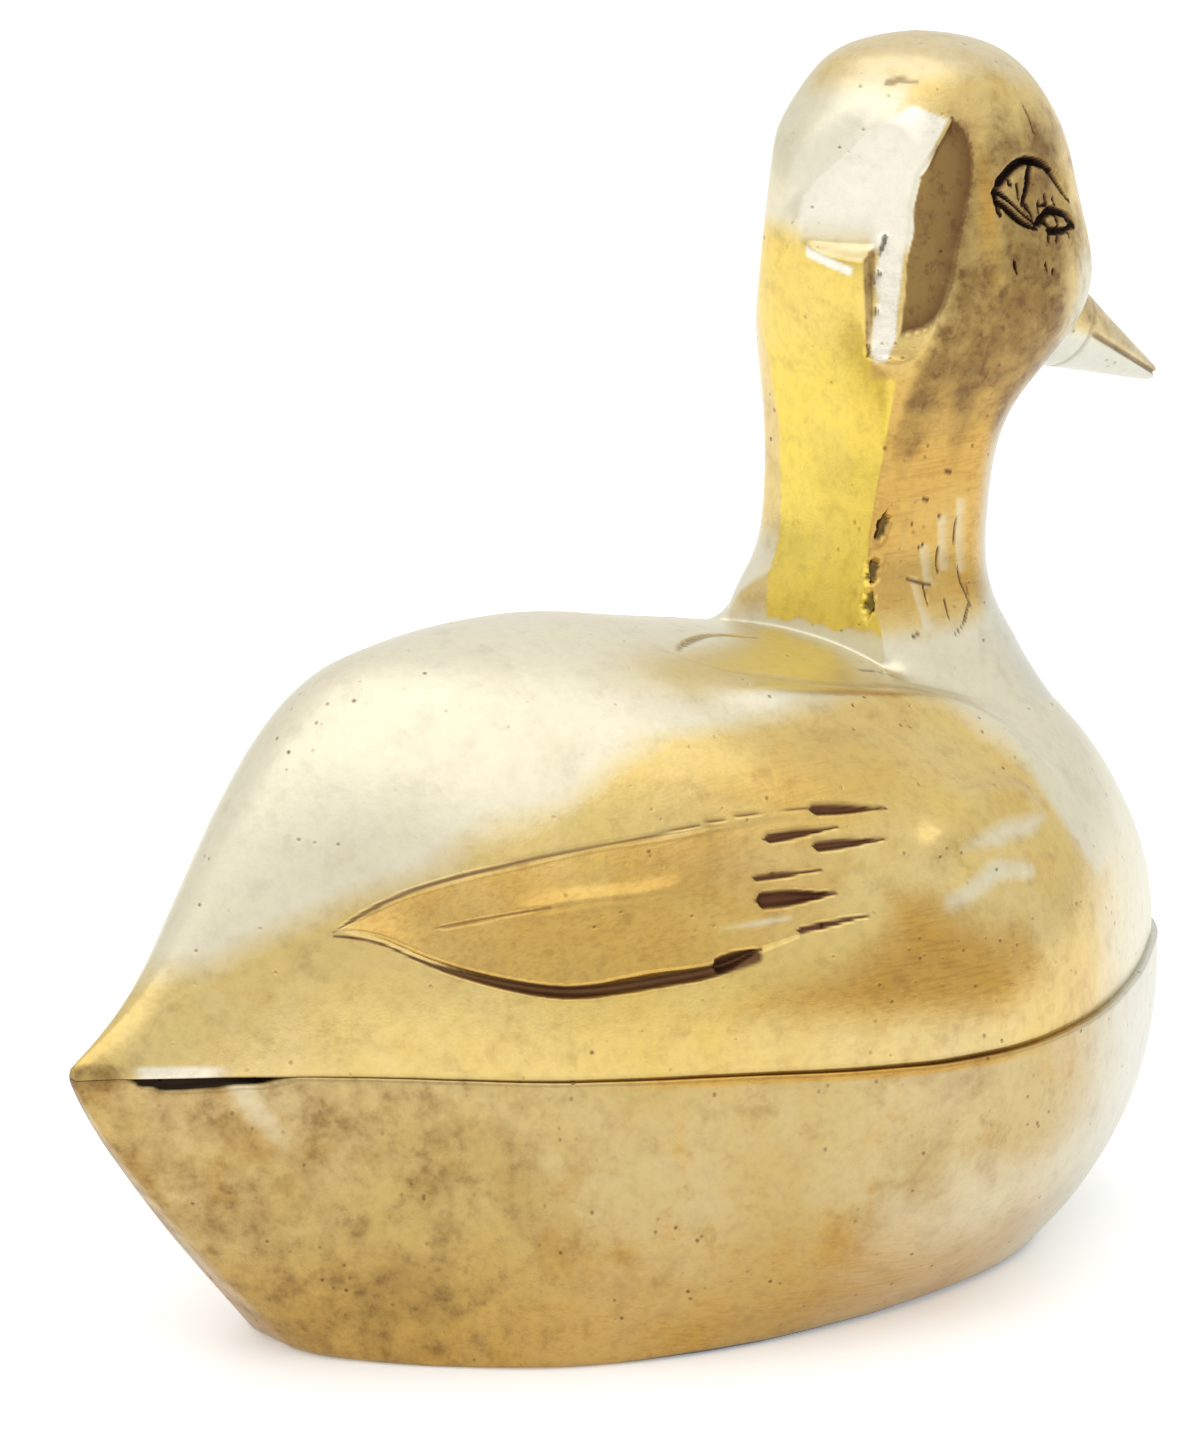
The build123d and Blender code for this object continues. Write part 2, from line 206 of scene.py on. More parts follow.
# Lines of the eye and brow on the side view: points, width, depth
EYE_LINES = (
    (((38.6, 118.9), (40.1, 119.9), (41.8, 121.0), (44.1, 121.4), (46.4, 120.6)), 1.25, 1.0),
    (((43.2, 121.6), (46.4, 120.8), (48.0, 119.8)), 0.9, 0.8),
    (((47.0, 120.4), (48.0, 119.6), (49.4, 118.3), (50.4, 117.0), (51.2, 115.9)), 0.5, 0.5),
    (((38.6, 118.9), (40.1, 117.9), (41.2, 117.1), (42.6, 115.8), (44.6, 114.5)), 0.6, 0.7),
    (((38.7, 117.8), (40.9, 116.1), (42.7, 114.7), (44.5, 113.9)), 0.75, 0.8),
    (((38.6, 119.0), (38.9, 117.7), (39.2, 116.0)), 1.0, 0.9),
    (((44.4, 121.3), (44.3, 119.8), (43.7, 118.1), (42.9, 116.8)), 1.1, 1.0),
    (((42.3, 119.2), (42.4, 117.3)), 0.45, 0.5),
    (((40.8, 119.6), (41.4, 119.0)), 0.6, 0.6),
    (((43.2, 116.6), (43.9, 116.0), (44.2, 115.2)), 0.5, 0.5),
    (((44.3, 114.3), (46.0, 114.9), (47.2, 115.5), (48.6, 115.3), (50.6, 114.3), (51.4, 113.2)), 1.15, 1.0),
    (((45.9, 113.5), (47.6, 113.3), (49.2, 113.1), (51.3, 113.4)), 1.0, 0.9),
    (((46.2, 114.6), (46.9, 113.2)), 0.8, 0.8),
    (((48.4, 114.9), (48.0, 113.0)), 0.6, 0.6),
    (((49.6, 114.8), (50.4, 113.6)), 0.5, 0.6),
    (((45.6, 117.0), (45.4, 115.5)), 0.55, 0.6),
    (((46.8, 117.6), (46.9, 116.4), (47.3, 115.5)), 0.55, 0.6),
    (((45.3, 116.2), (47.2, 116.3)), 0.45, 0.5),
    (((48.2, 117.0), (48.6, 116.0)), 0.5, 0.5),
    (((46.3, 113.2), (46.1, 112.3)), 0.5, 0.4),
    (((48.0, 113.0), (47.4, 112.0)), 0.5, 0.4),
    (((50.0, 112.9), (50.2, 112.2)), 0.4, 0.4),
    (((40.6, 110.9), (40.9, 109.4)), 0.45, 0.3),
    (((45.2, 110.2), (45.5, 109.2)), 0.4, 0.3),
    (((46.5, 109.4), (46.2, 108.6)), 0.4, 0.3),
)
LOWER_LID = ((39.4, 117.8), (41.4, 116.3), (44.3, 114.3))
BROW = ((44.9, 127.2), (45.5, 126.0), (45.9, 124.0))

# Chips along the filed edge of the neck: middle, half length
EDGE_CHIPS = (
    ((27.5, -9.6, 82.0), 1.9), ((26.0, -9.8, 77.0), 1.6), ((24.9, -10.2, 73.3), 1.6),
    ((23.6, -10.9, 70.6), 0.8),
)
NECK_CRACK = (
    (41.9, -10.4, 90.0), (40.9, -10.3, 87.4), (40.6, -10.1, 85.6), (40.1, -10.1, 83.0),
    (38.7, -10.3, 76.8),
)
# Tool marks on the right of the neck, on the side view: points, width, depth
NECK_MARKS = (
    (((37.6, 81.8), (37.4, 80.6), (37.2, 79.0)), 0.35, 0.35),
    (((35.1, 78.9), (34.7, 77.6), (34.6, 75.9)), 0.35, 0.35),
    (((32.3, 75.1), (32.1, 73.0)), 0.3, 0.3),
    (((37.5, 76.4), (37.6, 74.6), (38.0, 73.0), (38.2, 71.8)), 0.3, 0.3),
    (((34.6, 73.4), (34.4, 71.2)), 0.25, 0.25),
    (((35.1, 87.7), (36.4, 87.0)), 0.3, 0.2),
    (((32.6, 84.5), (33.4, 84.2)), 0.3, 0.2),
    (((34.8, 82.3), (35.5, 82.3)), 0.3, 0.2),
    (((32.2, 79.1), (32.9, 79.3)), 0.3, 0.2),
    (((29.9, 75.9), (31.2, 75.5), (33.2, 74.8)), 0.3, 0.2),
    (((28.8, 69.9), (29.8, 70.3)), 0.35, 0.2),
    (((31.0, 82.2), (31.4, 81.7)), 0.25, 0.15),
)
# Whitened facets between those marks: lower left corner, upper right corner
NECK_PALE = (
    ((32.4, 74.6), (34.6, 79.4)), ((34.9, 76.0), (37.2, 82.4)), ((30.5, 70.4), (32.2, 76.0)),
    ((37.4, 75.5), (39.4, 84.0)),
)

# Line above which the back is painted pale, partly as haze and partly as painted highlight on its top, on
# the side view
PALE_LINE = (
    (-72.0, 41.0), (-55.0, 46.5), (-48.0, 50.5), (-42.0, 53.5), (-34.0, 57.5), (-26.0, 60.5),
    (-18.0, 64.0), (-10.0, 67.5), (-2.0, 69.0), (8.0, 69.5), (18.0, 67.5), (26.0, 64.0), (32.0, 58.0),
    (40.0, 44.0),
)
# Warm brown patch of the breast's side and the pale lobe over it
WARM_PATCH = (
    (-16.0, 40.0), (-11.0, 36.3), (0.0, 35.0), (10.0, 33.8), (20.0, 33.6), (25.5, 35.5), (28.0, 40.5),
    (24.5, 46.8), (16.0, 49.0), (12.0, 51.5), (3.5, 53.5), (2.5, 48.5), (-2.5, 46.0), (-10.0, 44.5),
)
PALE_LOBE = (
    (14.6, 51.3), (15.0, 53.8), (19.5, 55.4), (25.0, 55.9), (33.7, 55.0), (35.8, 51.9), (29.6, 50.0),
    (22.3, 50.3),
)
WING_GLEAM = ((-13.7, 47.1), (-13.4, 48.8), (-8.8, 49.4), (-4.7, 49.6), (-4.9, 48.0), (-9.1, 47.4))
HULL_STREAK = ((-56.8, -9.0, 33.2), (-54.5, -9.8, 29.4), (-52.4, -10.9, 26.0), (-50.2, -12.0, 21.5))
NECK_SPLIT = (
    (38.2, -10.9, 74.6), (38.3, -11.4, 73.0), (37.0, -12.8, 71.2), (36.2, -13.4, 70.4),
    (34.6, -13.8, 69.6),
)


def natural_spline(rows, places, stretch=0.5):
    """Smooth rows through the given rows at places from 0 to 1."""
    rows = np.asarray(rows, float)
    gaps = np.linalg.norm(np.diff(rows, axis=0), axis=-1)
    gaps = gaps.reshape(len(rows) - 1, -1).mean(1) ** stretch
    knots = np.concatenate([[0.0], np.cumsum(gaps)])
    n = len(rows)
    system = np.eye(n)
    right = np.zeros_like(rows)
    for i in range(1, n - 1):
        system[i, i - 1 : i + 2] = gaps[i - 1], 2 * (gaps[i - 1] + gaps[i]), gaps[i]
        right[i] = 6 * ((rows[i + 1] - rows[i]) / gaps[i] - (rows[i] - rows[i - 1]) / gaps[i - 1])
    bend = np.linalg.solve(system, right.reshape(n, -1)).reshape(rows.shape)
    places = np.asarray(places) * knots[-1]
    span = np.clip(np.searchsorted(knots, places, "right") - 1, 0, n - 2)
    shape = (-1,) + (1,) * (rows.ndim - 1)
    gap = gaps[span].reshape(shape)
    after = (places - knots[span]).reshape(shape)
    before = gap - after
    return (
        bend[span] * before**3 / (6 * gap)
        + bend[span + 1] * after**3 / (6 * gap)
        + (rows[span] / gap - bend[span] * gap / 6) * before
        + (rows[span + 1] / gap - bend[span + 1] * gap / 6) * after
    )


def smooth_line(points, count=24):
    return natural_spline(points, np.linspace(0, 1, count), 1.0)


def by_distance(points, shares, closed=False):
    """The same line, read at shares of its length."""
    if closed:
        points = np.concatenate([points, points[:1]])
    gaps = np.linalg.norm(np.diff(points, axis=0), axis=1)
    along = np.concatenate([[0.0], np.cumsum(gaps)])
    places = np.asarray(shares) * along[-1]
    return np.stack([np.interp(places, along, points[:, k]) for k in range(points.shape[1])], 1)


def smooth_step(value, start, full):
    """Nought up to start, one from full on; the other way round where full is the lower one."""
    t = np.clip((value - start) / (full - start), 0, 1)
    return t * t * (3 - 2 * t)


def bell(value, middle, width):
    return np.exp(-(((value - middle) / width) ** 2))


def most(*shares):
    """The greatest of several shares, point by point."""
    return np.maximum.reduce(shares)


def paint(rows, **measures):
    """Shares of each tone by rows of: tone, share, and where it lies by each measure, as the two ends
    of a fade, the four ends of a stretch, or the middle and width of a bell."""
    tones = {}
    for tone, share, edges in rows:
        for name, ends in edges.items():
            value = measures[name]
            if ends[-1] == "bell":
                share = share * bell(value, *ends[:2])
            else:
                share = share * smooth_step(value, *ends[:2])
                if len(ends) == 4:
                    share = share * smooth_step(value, ends[3], ends[2])
        tones[tone] = most(tones[tone], share) if tone in tones else share
    return tones


def unit(vectors):
    return vectors / (np.linalg.norm(vectors, axis=-1, keepdims=True) + 1e-12)


def grid_normals(grid, wrap, turn=1):
    """Normals of a grid, turned to point out of the casting."""
    down = np.gradient(grid, axis=0)
    if wrap:
        across = np.roll(grid, -1, 1) - np.roll(grid, 1, 1)
    else:
        across = np.gradient(grid, axis=1)
    return unit(np.cross(across, down)) * turn


def path_distance(points, path, normals=None):
    """Distance of points from a path over the surface, and how far along it the nearest place is."""
    path = np.asarray(path, float)
    best = np.full(len(points), 1e9)
    where = np.zeros(len(points))
    lengths = np.linalg.norm(np.diff(path, axis=0), axis=1)
    total = lengths.sum()
    start = 0.0
    for a, b, length in zip(path[:-1], path[1:], lengths):
        run = (b - a) / length
        rel = points - a
        t = np.clip(rel @ run, 0, length)
        off = rel - t[:, None] * run
        if normals is not None:
            off = off - normals * (off * normals).sum(1)[:, None]
        d = np.linalg.norm(off, axis=1)
        near = d < best
        best[near] = d[near]
        where[near] = (start + t[near]) / total
        start += length
    return best, where


def depth_inside(points, outline):
    """Distance from a closed outline for points inside it, zero outside."""
    outline = np.asarray(outline, float)
    ring = np.concatenate([outline, outline[:1]])
    inside = np.zeros(len(points), bool)
    for (x0, y0), (x1, y1) in zip(ring[:-1], ring[1:]):
        crosses = (points[:, 1] < y0) != (points[:, 1] < y1)
        at = x0 + (points[:, 1] - y0) / (y1 - y0 + 1e-12) * (x1 - x0)
        inside ^= crosses & (points[:, 0] < at)
    return path_distance(points, ring)[0] * inside


class Relief:
    """Height over a casting's surface, and the dirt, blackening and painted shade that lie in it, per point.
    """

    MARGIN = 1.5
    FINEST = 0.2

    def __init__(self, points, normals=None):
        self.points = points
        self.normals = normals
        self.height = np.zeros(len(points))
        self.dirt = np.zeros(len(points))
        self.soot = np.zeros(len(points))
        self.wing = np.zeros(len(points))

    def near(self, path, reach):
        """Places of the points close to a path, which are the only ones that it changes."""
        path = np.asarray(path, float)
        low = path.min(0) - reach - self.MARGIN
        high = path.max(0) + reach + self.MARGIN
        chosen = np.flatnonzero(np.all((self.points > low) & (self.points < high), axis=1))
        normals = None if self.normals is None else self.normals[chosen]
        return chosen, *path_distance(self.points[chosen], path, normals)

    def cut(self, path, width, depth, dirt=1.0, blunt=0.12, tail=0.5):
        """Groove along a path, blunt at its start and drawn out at its end."""
        chosen, d, t = self.near(path, width)
        opening = smooth_step(t, -0.01, blunt)
        half = width / 2 * most(opening * (1 - tail * smooth_step(t, 0.3, 1)), np.full(len(t), self.FINEST))
        bowl = np.clip(1 - (d / half) ** 2, 0, 1)
        self.height[chosen] -= depth * bowl * opening * smooth_step(t, 1.01, 0.85)
        self.dirt[chosen] = most(self.dirt[chosen], dirt * smooth_step(1.25 - d / half, 0, 0.7))

    def ridge(self, path, width, height):
        """Soft raised line along a path."""
        chosen, d, t = self.near(path, width * 3)
        self.height[chosen] += height * bell(d, 0, width) * smooth_step(t, 0, 0.2) * smooth_step(t, 1, 0.8)


def mirrored(vectors, places=None):
    """The left side folded over the right, where the lines are drawn."""
    places = vectors if places is None else places
    return vectors * np.stack([np.ones(len(places)), -np.sign(places[:, 1] + 1e-9), np.ones(len(places))], 1)


def side_view(points):
    return points[:, [0, 2]]


def new_piece(name, points, faces, flat_last=0):
    """Closed mesh with its faces turned outwards, the last ones flat."""
    corners = np.array([points[[face[0], face[1], face[2]]] for face in faces if len(face) < 5])
    a, b, c = corners[:, 0], corners[:, 1], corners[:, 2]
    if (a * np.cross(b, c)).sum() < 0:
        faces = [face[::-1] for face in faces]
    mesh = bpy.data.meshes.new(name)
    mesh.from_pydata((points * MM).tolist(), [], faces)
    smooth = np.ones(len(faces), bool)
    if flat_last:
        smooth[-flat_last:] = False
    mesh.polygons.foreach_set("use_smooth", smooth)
    mesh.update()
    piece = bpy.data.objects.new(name, mesh)
    bpy.context.scene.collection.objects.link(piece)
    return piece


# Tones kept on each point; the bare and haze tones also carry painted highlight, the dirt and soot tones
# painted shade
TONES = ("dirt", "soot", "haze", "warm", "olive", "gilt", "bare", "silver")


def grid_faces(rows, columns, wrap):
    faces = []
    spans = columns if wrap else columns - 1
    for i in range(rows - 1):
        a = i * columns
        b = a + columns
        faces += [(a + j, a + (j + 1) % columns, b + (j + 1) % columns, b + j) for j in range(spans)]
    return faces


def capped(rows, columns):
    """Closed grid whose columns run round it, with a flat face at each end."""
    faces = grid_faces(rows, columns, True)
    faces.append(tuple(range(columns - 1, -1, -1)))
    faces.append(tuple(range((rows - 1) * columns, rows * columns)))
    return faces


def store(piece, **layers):
    """Keep the shares of each tone on the piece's points for its finish."""
    count = len(piece.data.vertices)
    for name in TONES:
        values = layers.get(name, np.zeros(count))
        values = np.tile(values, count // len(values))
        layer = piece.data.attributes.new(name, "FLOAT", "POINT")
        layer.data.foreach_set("value", np.clip(values, 0, 1).astype(np.float32))


def seam_to_row(points):
    """From the seam's own frame, which slopes gently forward, to the row's."""
    x, y, z = np.moveaxis(points, -1, 0)
    c, s = math.cos(SEAM_SLOPE), math.sin(SEAM_SLOPE)
    return np.stack([x * c + z * s, y, z * c - x * s + WATERLINE], -1)


def body_surface(stations, shares):
    """Back and flanks at stations in millimetres along the body and shares of each rib's arc."""
    turn = np.linspace(-math.pi / 2, math.pi / 2, 721)
    ribs = []
    for place, width, crown, slope in BODY_RIBS:
        half = max((BODY_HALF_WIDTH - RIM_LEDGE) * width, NOSE_SIZE)
        height = max(BACK_HEIGHT * crown, NOSE_SIZE)
        arch = np.maximum(np.cos(turn), 0) ** (2 * slope)
        x = np.full_like(turn, TAIL_X + (BREAST_X - RIM_LEDGE - TAIL_X) * place)
        ribs.append(by_distance(np.stack([x, half * np.sin(turn), height * arch], 1), shares))
    ribs = np.array(ribs)
    fine = np.linspace(0, 1, 4001)
    run = natural_spline(ribs, fine)[:, 0, 0]
    places = np.interp(stations, run, fine)
    return seam_to_row(natural_spline(ribs, places))


# Wing: how deep its upper edge is let in, how far it rises from there to the lower edge, how far the
# groove lies below that edge, and where along the duck its height and colour come in and go out
WING_SET_IN = 0.55
WING_RISE = 1.35
GROOVE_DROP = 0.45
WING_FADING = (
    ("height", 1.0, {"x": (-48.0, -42.0, -20.0, 3.0)}),
    ("colour", 1.0, {"x": (-48.0, -44.0, -18.0, 8.0)}),
)


def wing_shape(relief):
    """Wing let in along its upper edge and standing proud along the lower one, fading out forward."""
    upper = smooth_line(WING_UPPER, 60)
    lower = smooth_line(WING_LOWER + WING_ROOT_LOWER, 60)
    x, z = side_view(relief.points).T
    top = np.interp(x, upper[:, 0], upper[:, 2])
    bottom = np.interp(x, lower[:, 0], lower[:, 2])
    across = np.clip((top - z) / np.maximum(top - bottom, 0.5), 0, 1)
    inside = smooth_step(top - z, 0.0, 0.5) * smooth_step(z - bottom, 0.0, 0.45)
    fading = paint(WING_FADING, x=x)
    relief.height += (WING_RISE * across - WING_SET_IN) * inside * fading["height"]
    relief.wing = inside * fading["colour"]
    relief.cut(upper, width=0.5, depth=0.3, dirt=0.75, blunt=0.05, tail=0.7)
    groove = smooth_line(WING_LOWER, 40) - [0, 0, GROOVE_DROP]
    relief.cut(groove, width=1.5, depth=0.8, dirt=0.92, blunt=0.6, tail=0.0)
    relief.cut(smooth_line(FEATHER_LINE), width=0.45, depth=0.25, dirt=0.6)
    relief.ridge(smooth_line(FEATHER_EDGE), width=0.9, height=0.35)
    for rear, front, width, depth in FEATHER_CUTS:
        relief.cut((rear, front), width * 1.2, depth, dirt=0.95, blunt=0.08, tail=0.75)


def shoulder_shape(relief):
    """Edges of the feather under the neck, and the ridges over the wing's root."""
    relief.cut(smooth_line(SHOULDER_FEATHER_TOP), width=0.7, depth=0.35, dirt=0.45, blunt=0.3)
    relief.cut(smooth_line(SHOULDER_FEATHER_LOW), width=1.4, depth=0.22, dirt=0.12, blunt=0.3, tail=0.2)
    relief.cut(smooth_line(SHOULDER_SCRATCH), width=0.35, depth=0.15, dirt=0.6)
    relief.ridge(smooth_line(SHOULDER_RIDGE), width=2.8, height=1.3)
    relief.ridge(smooth_line(WING_ROOT_UPPER), width=2.2, height=1.0)
    relief.ridge(smooth_line(WING_ROOT_BAND), width=1.8, height=0.6)


# Tones of the body, in millimetres along and up the duck, over the pale line, inside the warm patch
# and the pale lobe, and from the band under the wing's root
BODY_TONES = (
    # Pale above the line, towards the breast and on the top: partly haze, partly painted highlight
    ("pale", 1.0, {"over": (-5, 5)}),
    ("pale", 0.8, {"x": (24, 50)}),
    ("pale", 0.85, {"z": (64, 68)}),
    ("warm", 0.85, {"patch": (0, 6)}),
    ("warm", 0.5, {"x": (2, 14, "bell"), "z": (61, 4, "bell")}),
    # The lobe and the band under the wing's root are painted pale as highlight over the ridges
    ("lobe", 1.0, {"lobe": (0, 3.5)}),
    ("band", 0.6, {"band": (0, 1.3, "bell")}),
    # Painted highlight on the top of the back and on the upper rear flank
    ("bare", 0.2, {"z": (66, 71)}),
    ("bare", 0.15, {"over": (3, 9), "x": (-18, -34)}),
    ("silver", 0.35, {"x": (40, 60)}),
)


def body_tones(points):
    """Where the back is painted pale, partly haze and partly painted highlight, where it is still golden,
    and where it is warmest.
    """
    x, _, z = points.T
    flank = side_view(points)
    tones = paint(
        BODY_TONES,
        x=x,
        z=z,
        over=z - np.interp(x, *np.transpose(PALE_LINE)),
        patch=depth_inside(flank, WARM_PATCH),
        lobe=depth_inside(flank, PALE_LOBE),
        band=path_distance(flank, side_view(np.array(WING_ROOT_BAND)))[0],
    )
    lobe = tones.pop("lobe")
    pale = tones.pop("pale") * (1 - tones["warm"])
    tones["haze"] = most(pale, 0.85 * lobe, tones.pop("band"))
    tones["warm"] = tones["warm"] * (1 - lobe)
    return tones


def body_skin(stations, shares):
    """A stretch of the body's surface: points and normals, and the station and share of each."""
    grid = body_surface(stations, shares)
    normal = grid_normals(grid, False, -1)
    station, across = np.repeat(stations, len(shares)), np.tile(shares, len(stations))
    return grid.reshape(-1, 3), normal.reshape(-1, 3), station, across


def below_seam(points):
    """How far points lie below the waterline's plane."""
    return WATERLINE - points[:, 0] * math.sin(SEAM_SLOPE) - points[:, 2]


# Rows and columns of each skin; the hull's rows are those of its sides
BODY_GRID = (330, 280)
WING_GRID = (288, 169)
HULL_GRID = (78, 640)
HEAD_GRID = (250, 380)
BILL_GRID = (70, 128)

# Wing skin: the stretch of the body that it covers, in stations and shares, the widths over which its
# border fades, how far it stands proud of the flank and dives at its border, and how thick it is
WING_STATIONS = (-54.0, 17.5)
WING_SHARES = (0.018, 0.37)
WING_FADE = 4.0
WING_SHARE_FADE = 0.03
WING_PROUD = 0.012
WING_DIVE = 0.07
WING_BACKING = 2.2
WING_GLEAM_FADE = 1.2
# How far the flank is sunk under the wing skin, and where, in widths of the skin's fade
WING_BED = 1.9
WING_BED_EDGE = (1.05, 1.6)

# Painted highlight over the open stretch of the seam, smudge at the tail's tip, and the seam's dark line
TAIL_TONES = (
    ("bare", 0.8, {"x": (-66.5, -65, -60, -56.5), "below": (-1.5, -0.9)}),
    ("olive", 0.6, {"x": (-66, -68.5), "below": (-2.0, -0.8)}),
    ("dirt", 0.7, {"x": (28, 12), "side": (0.005, 0)}),
)


def wing_depth(station, share):
    """How far inside the border of the wing's skin, in widths of its fade."""
    along = np.minimum(station - WING_STATIONS[0], WING_STATIONS[1] - station) / WING_FADE
    across = np.minimum(share - WING_SHARES[0], WING_SHARES[1] - share) / WING_SHARE_FADE
    return np.minimum(along, across)


def upper_body():
    rows, columns = BODY_GRID
    stations = np.linspace(TAIL_X, BREAST_X - RIM_LEDGE, rows)
    points, normal, station, share = body_skin(stations, np.linspace(0, 1, columns))
    relief = Relief(mirrored(points), mirrored(normal, points))
    shoulder_shape(relief)
    side = np.minimum(share, 1 - share)
    lift = relief.height - WING_BED * smooth_step(wing_depth(station, side), *WING_BED_EDGE)
    faces = grid_faces(rows, columns, False)
    for a in range(0, (rows - 1) * columns, columns):
        faces.append((a, a + columns, a + 2 * columns - 1, a + columns - 1))
    faces.append(tuple(range(columns - 1, -1, -1)))
    faces.append(tuple(range((rows - 1) * columns, rows * columns)))
    piece = new_piece("upper_body_casting", points + normal * lift[:, None], faces, flat_last=rows + 1)
    tones = body_tones(points)
    tail = paint(TAIL_TONES, x=points[:, 0], below=below_seam(points), side=side)
    # Painted highlight just above the open seam at the tail
    tones["bare"] = most(tones["bare"], tail["bare"])
    store(piece, dirt=most(relief.dirt, tail["dirt"]), olive=tail["olive"], **tones)
    tree = BVHTree.FromPolygons([tuple(p) for p in points], [f for f in faces if len(f) == 4])
    return piece, tree


def wing(name, left):
    """Finely carved skin of one wing, its rim tucked under the flank."""
    rows, columns = WING_GRID
    stations, shares = np.linspace(*WING_STATIONS, rows), np.linspace(*WING_SHARES, columns)
    points, normal, station, share = body_skin(stations, shares)
    relief = Relief(points, normal)
    shoulder_shape(relief)
    wing_shape(relief)
    lift = relief.height + WING_PROUD - WING_DIVE * smooth_step(wing_depth(station, share), 1, 0)
    both = np.concatenate([points + normal * lift[:, None], points - normal * WING_BACKING])
    skin = grid_faces(rows, columns, False)
    count = rows * columns
    faces = skin + [tuple(count + k for k in reversed(face)) for face in skin]
    edge = list(range(columns))
    edge += [i * columns + columns - 1 for i in range(1, rows)]
    edge += [(rows - 1) * columns + j for j in range(columns - 2, -1, -1)]
    edge += [i * columns for i in range(rows - 2, 0, -1)]
    faces += [(b, a, count + a, count + b) for a, b in zip(edge, edge[1:] + edge[:1])]
    if left:
        both = both * [1, -1, 1]
    piece = new_piece(name, both, faces, flat_last=len(edge))
    gleam = smooth_step(depth_inside(side_view(points), WING_GLEAM), 0, WING_GLEAM_FADE)
    tones = body_tones(points)
    # Painted highlight of the wing's gleam, in the pale tone
    tones["haze"] = most(tones["haze"] * (1 - relief.wing), 0.6 * gleam)
    tones["bare"] = tones["bare"] * (1 - relief.wing)
    tones["warm"] = most(tones["warm"], 0.6 * relief.wing) * (1 - gleam)
    store(piece, dirt=relief.dirt, **tones)
    return piece


def hull_outline(share, columns):
    """Plan line of the hull at one level between foot and waterline."""
    low = np.array([(FOOT_LENGTH * (x - 0.5), FOOT_HALF_WIDTH * y) for x, y in FOOT_OUTLINE])
    high = np.array([(TAIL_X + BODY_LENGTH * r[0], BODY_HALF_WIDTH * r[1]) for r in BODY_RIBS])
    swell = np.linspace(TAIL_SWELL, BREAST_SWELL, len(low))
    reach = 1 - (1 - share) ** swell
    side = low + (high - low) * reach[:, None]
    ring = np.concatenate([side, side[-2::-1] * [1, -1]])
    return by_distance(natural_spline(ring, np.linspace(0, 1, 1600)), np.linspace(0, 1, columns))


def drawn_in(line, inset):
    """Plan line moved inwards."""
    run = unit(np.gradient(line, axis=0))
    return line + np.stack([run[:, 1], -run[:, 0]], 1) * inset


# Hull: steps of its foot's rounding, the share at which its rim begins and the insets of the rim,
# and the stretch of the seam that stands open at the tail: how deep, how soft, how far sunk
FOOT_ROUNDING_STEPS = 6
RIM_SHARE = 0.994
RIM_INSETS = (0.12, RIM_LEDGE * 0.6, RIM_LEDGE, RIM_LEDGE * 2.2)
TAIL_GAP = (("gap", 1.0, {"x": (-67.5, -65, -55, -51)}),)
TAIL_GAP_DEPTH = ((-66.5, 0.3), (-63, 1.05), (-58, 0.85), (-51, 0.1))
TAIL_GAP_EDGE = 0.4
TAIL_GAP_SINK = 0.11

# Tones of the hull: along and up the duck, below the seam, on the ledge of the rim and from the streak
HULL_TONES = (
    ("dirt", 0.3, {"ledge": (0, 1), "x": (28, 12)}),
    ("warm", 0.9, {"ledge": (0, 1), "x": (28, 12)}),
    ("warm", 0.9, {"below": (1.1, 0.6), "x": (-32, -12, 12, 28)}),
    ("warm", 0.6, {"z": (22, 4), "x": (50, 20)}),
    ("warm", 0.25, {"x": (-38, -62)}),
    ("gleam", 1.0, {"streak": (0, 1.7, "bell")}),
    ("haze", 0.85, {"x": (18, 56)}),
    # Painted reflection: the low front of the hull is painted paler
    ("haze", 0.95, {"z": (28, 8), "x": (-8, 18)}),
    ("olive", 0.32, {"x": (-16, -44)}),
    ("olive", 0.58, {"x": (-41, 7, "bell"), "z": (9, 7, "bell")}),
    ("smudge", 0.7, {"x": (-66, -69), "below": (2.2, 0.8)}),
    # Painted contact shadow along the foot's rounded edge at the front
    ("soot", 0.8, {"z": (0.75, 0.3), "x": (-30, -5)}),
    ("silver", 0.75, {"x": (20, 54)}),
)


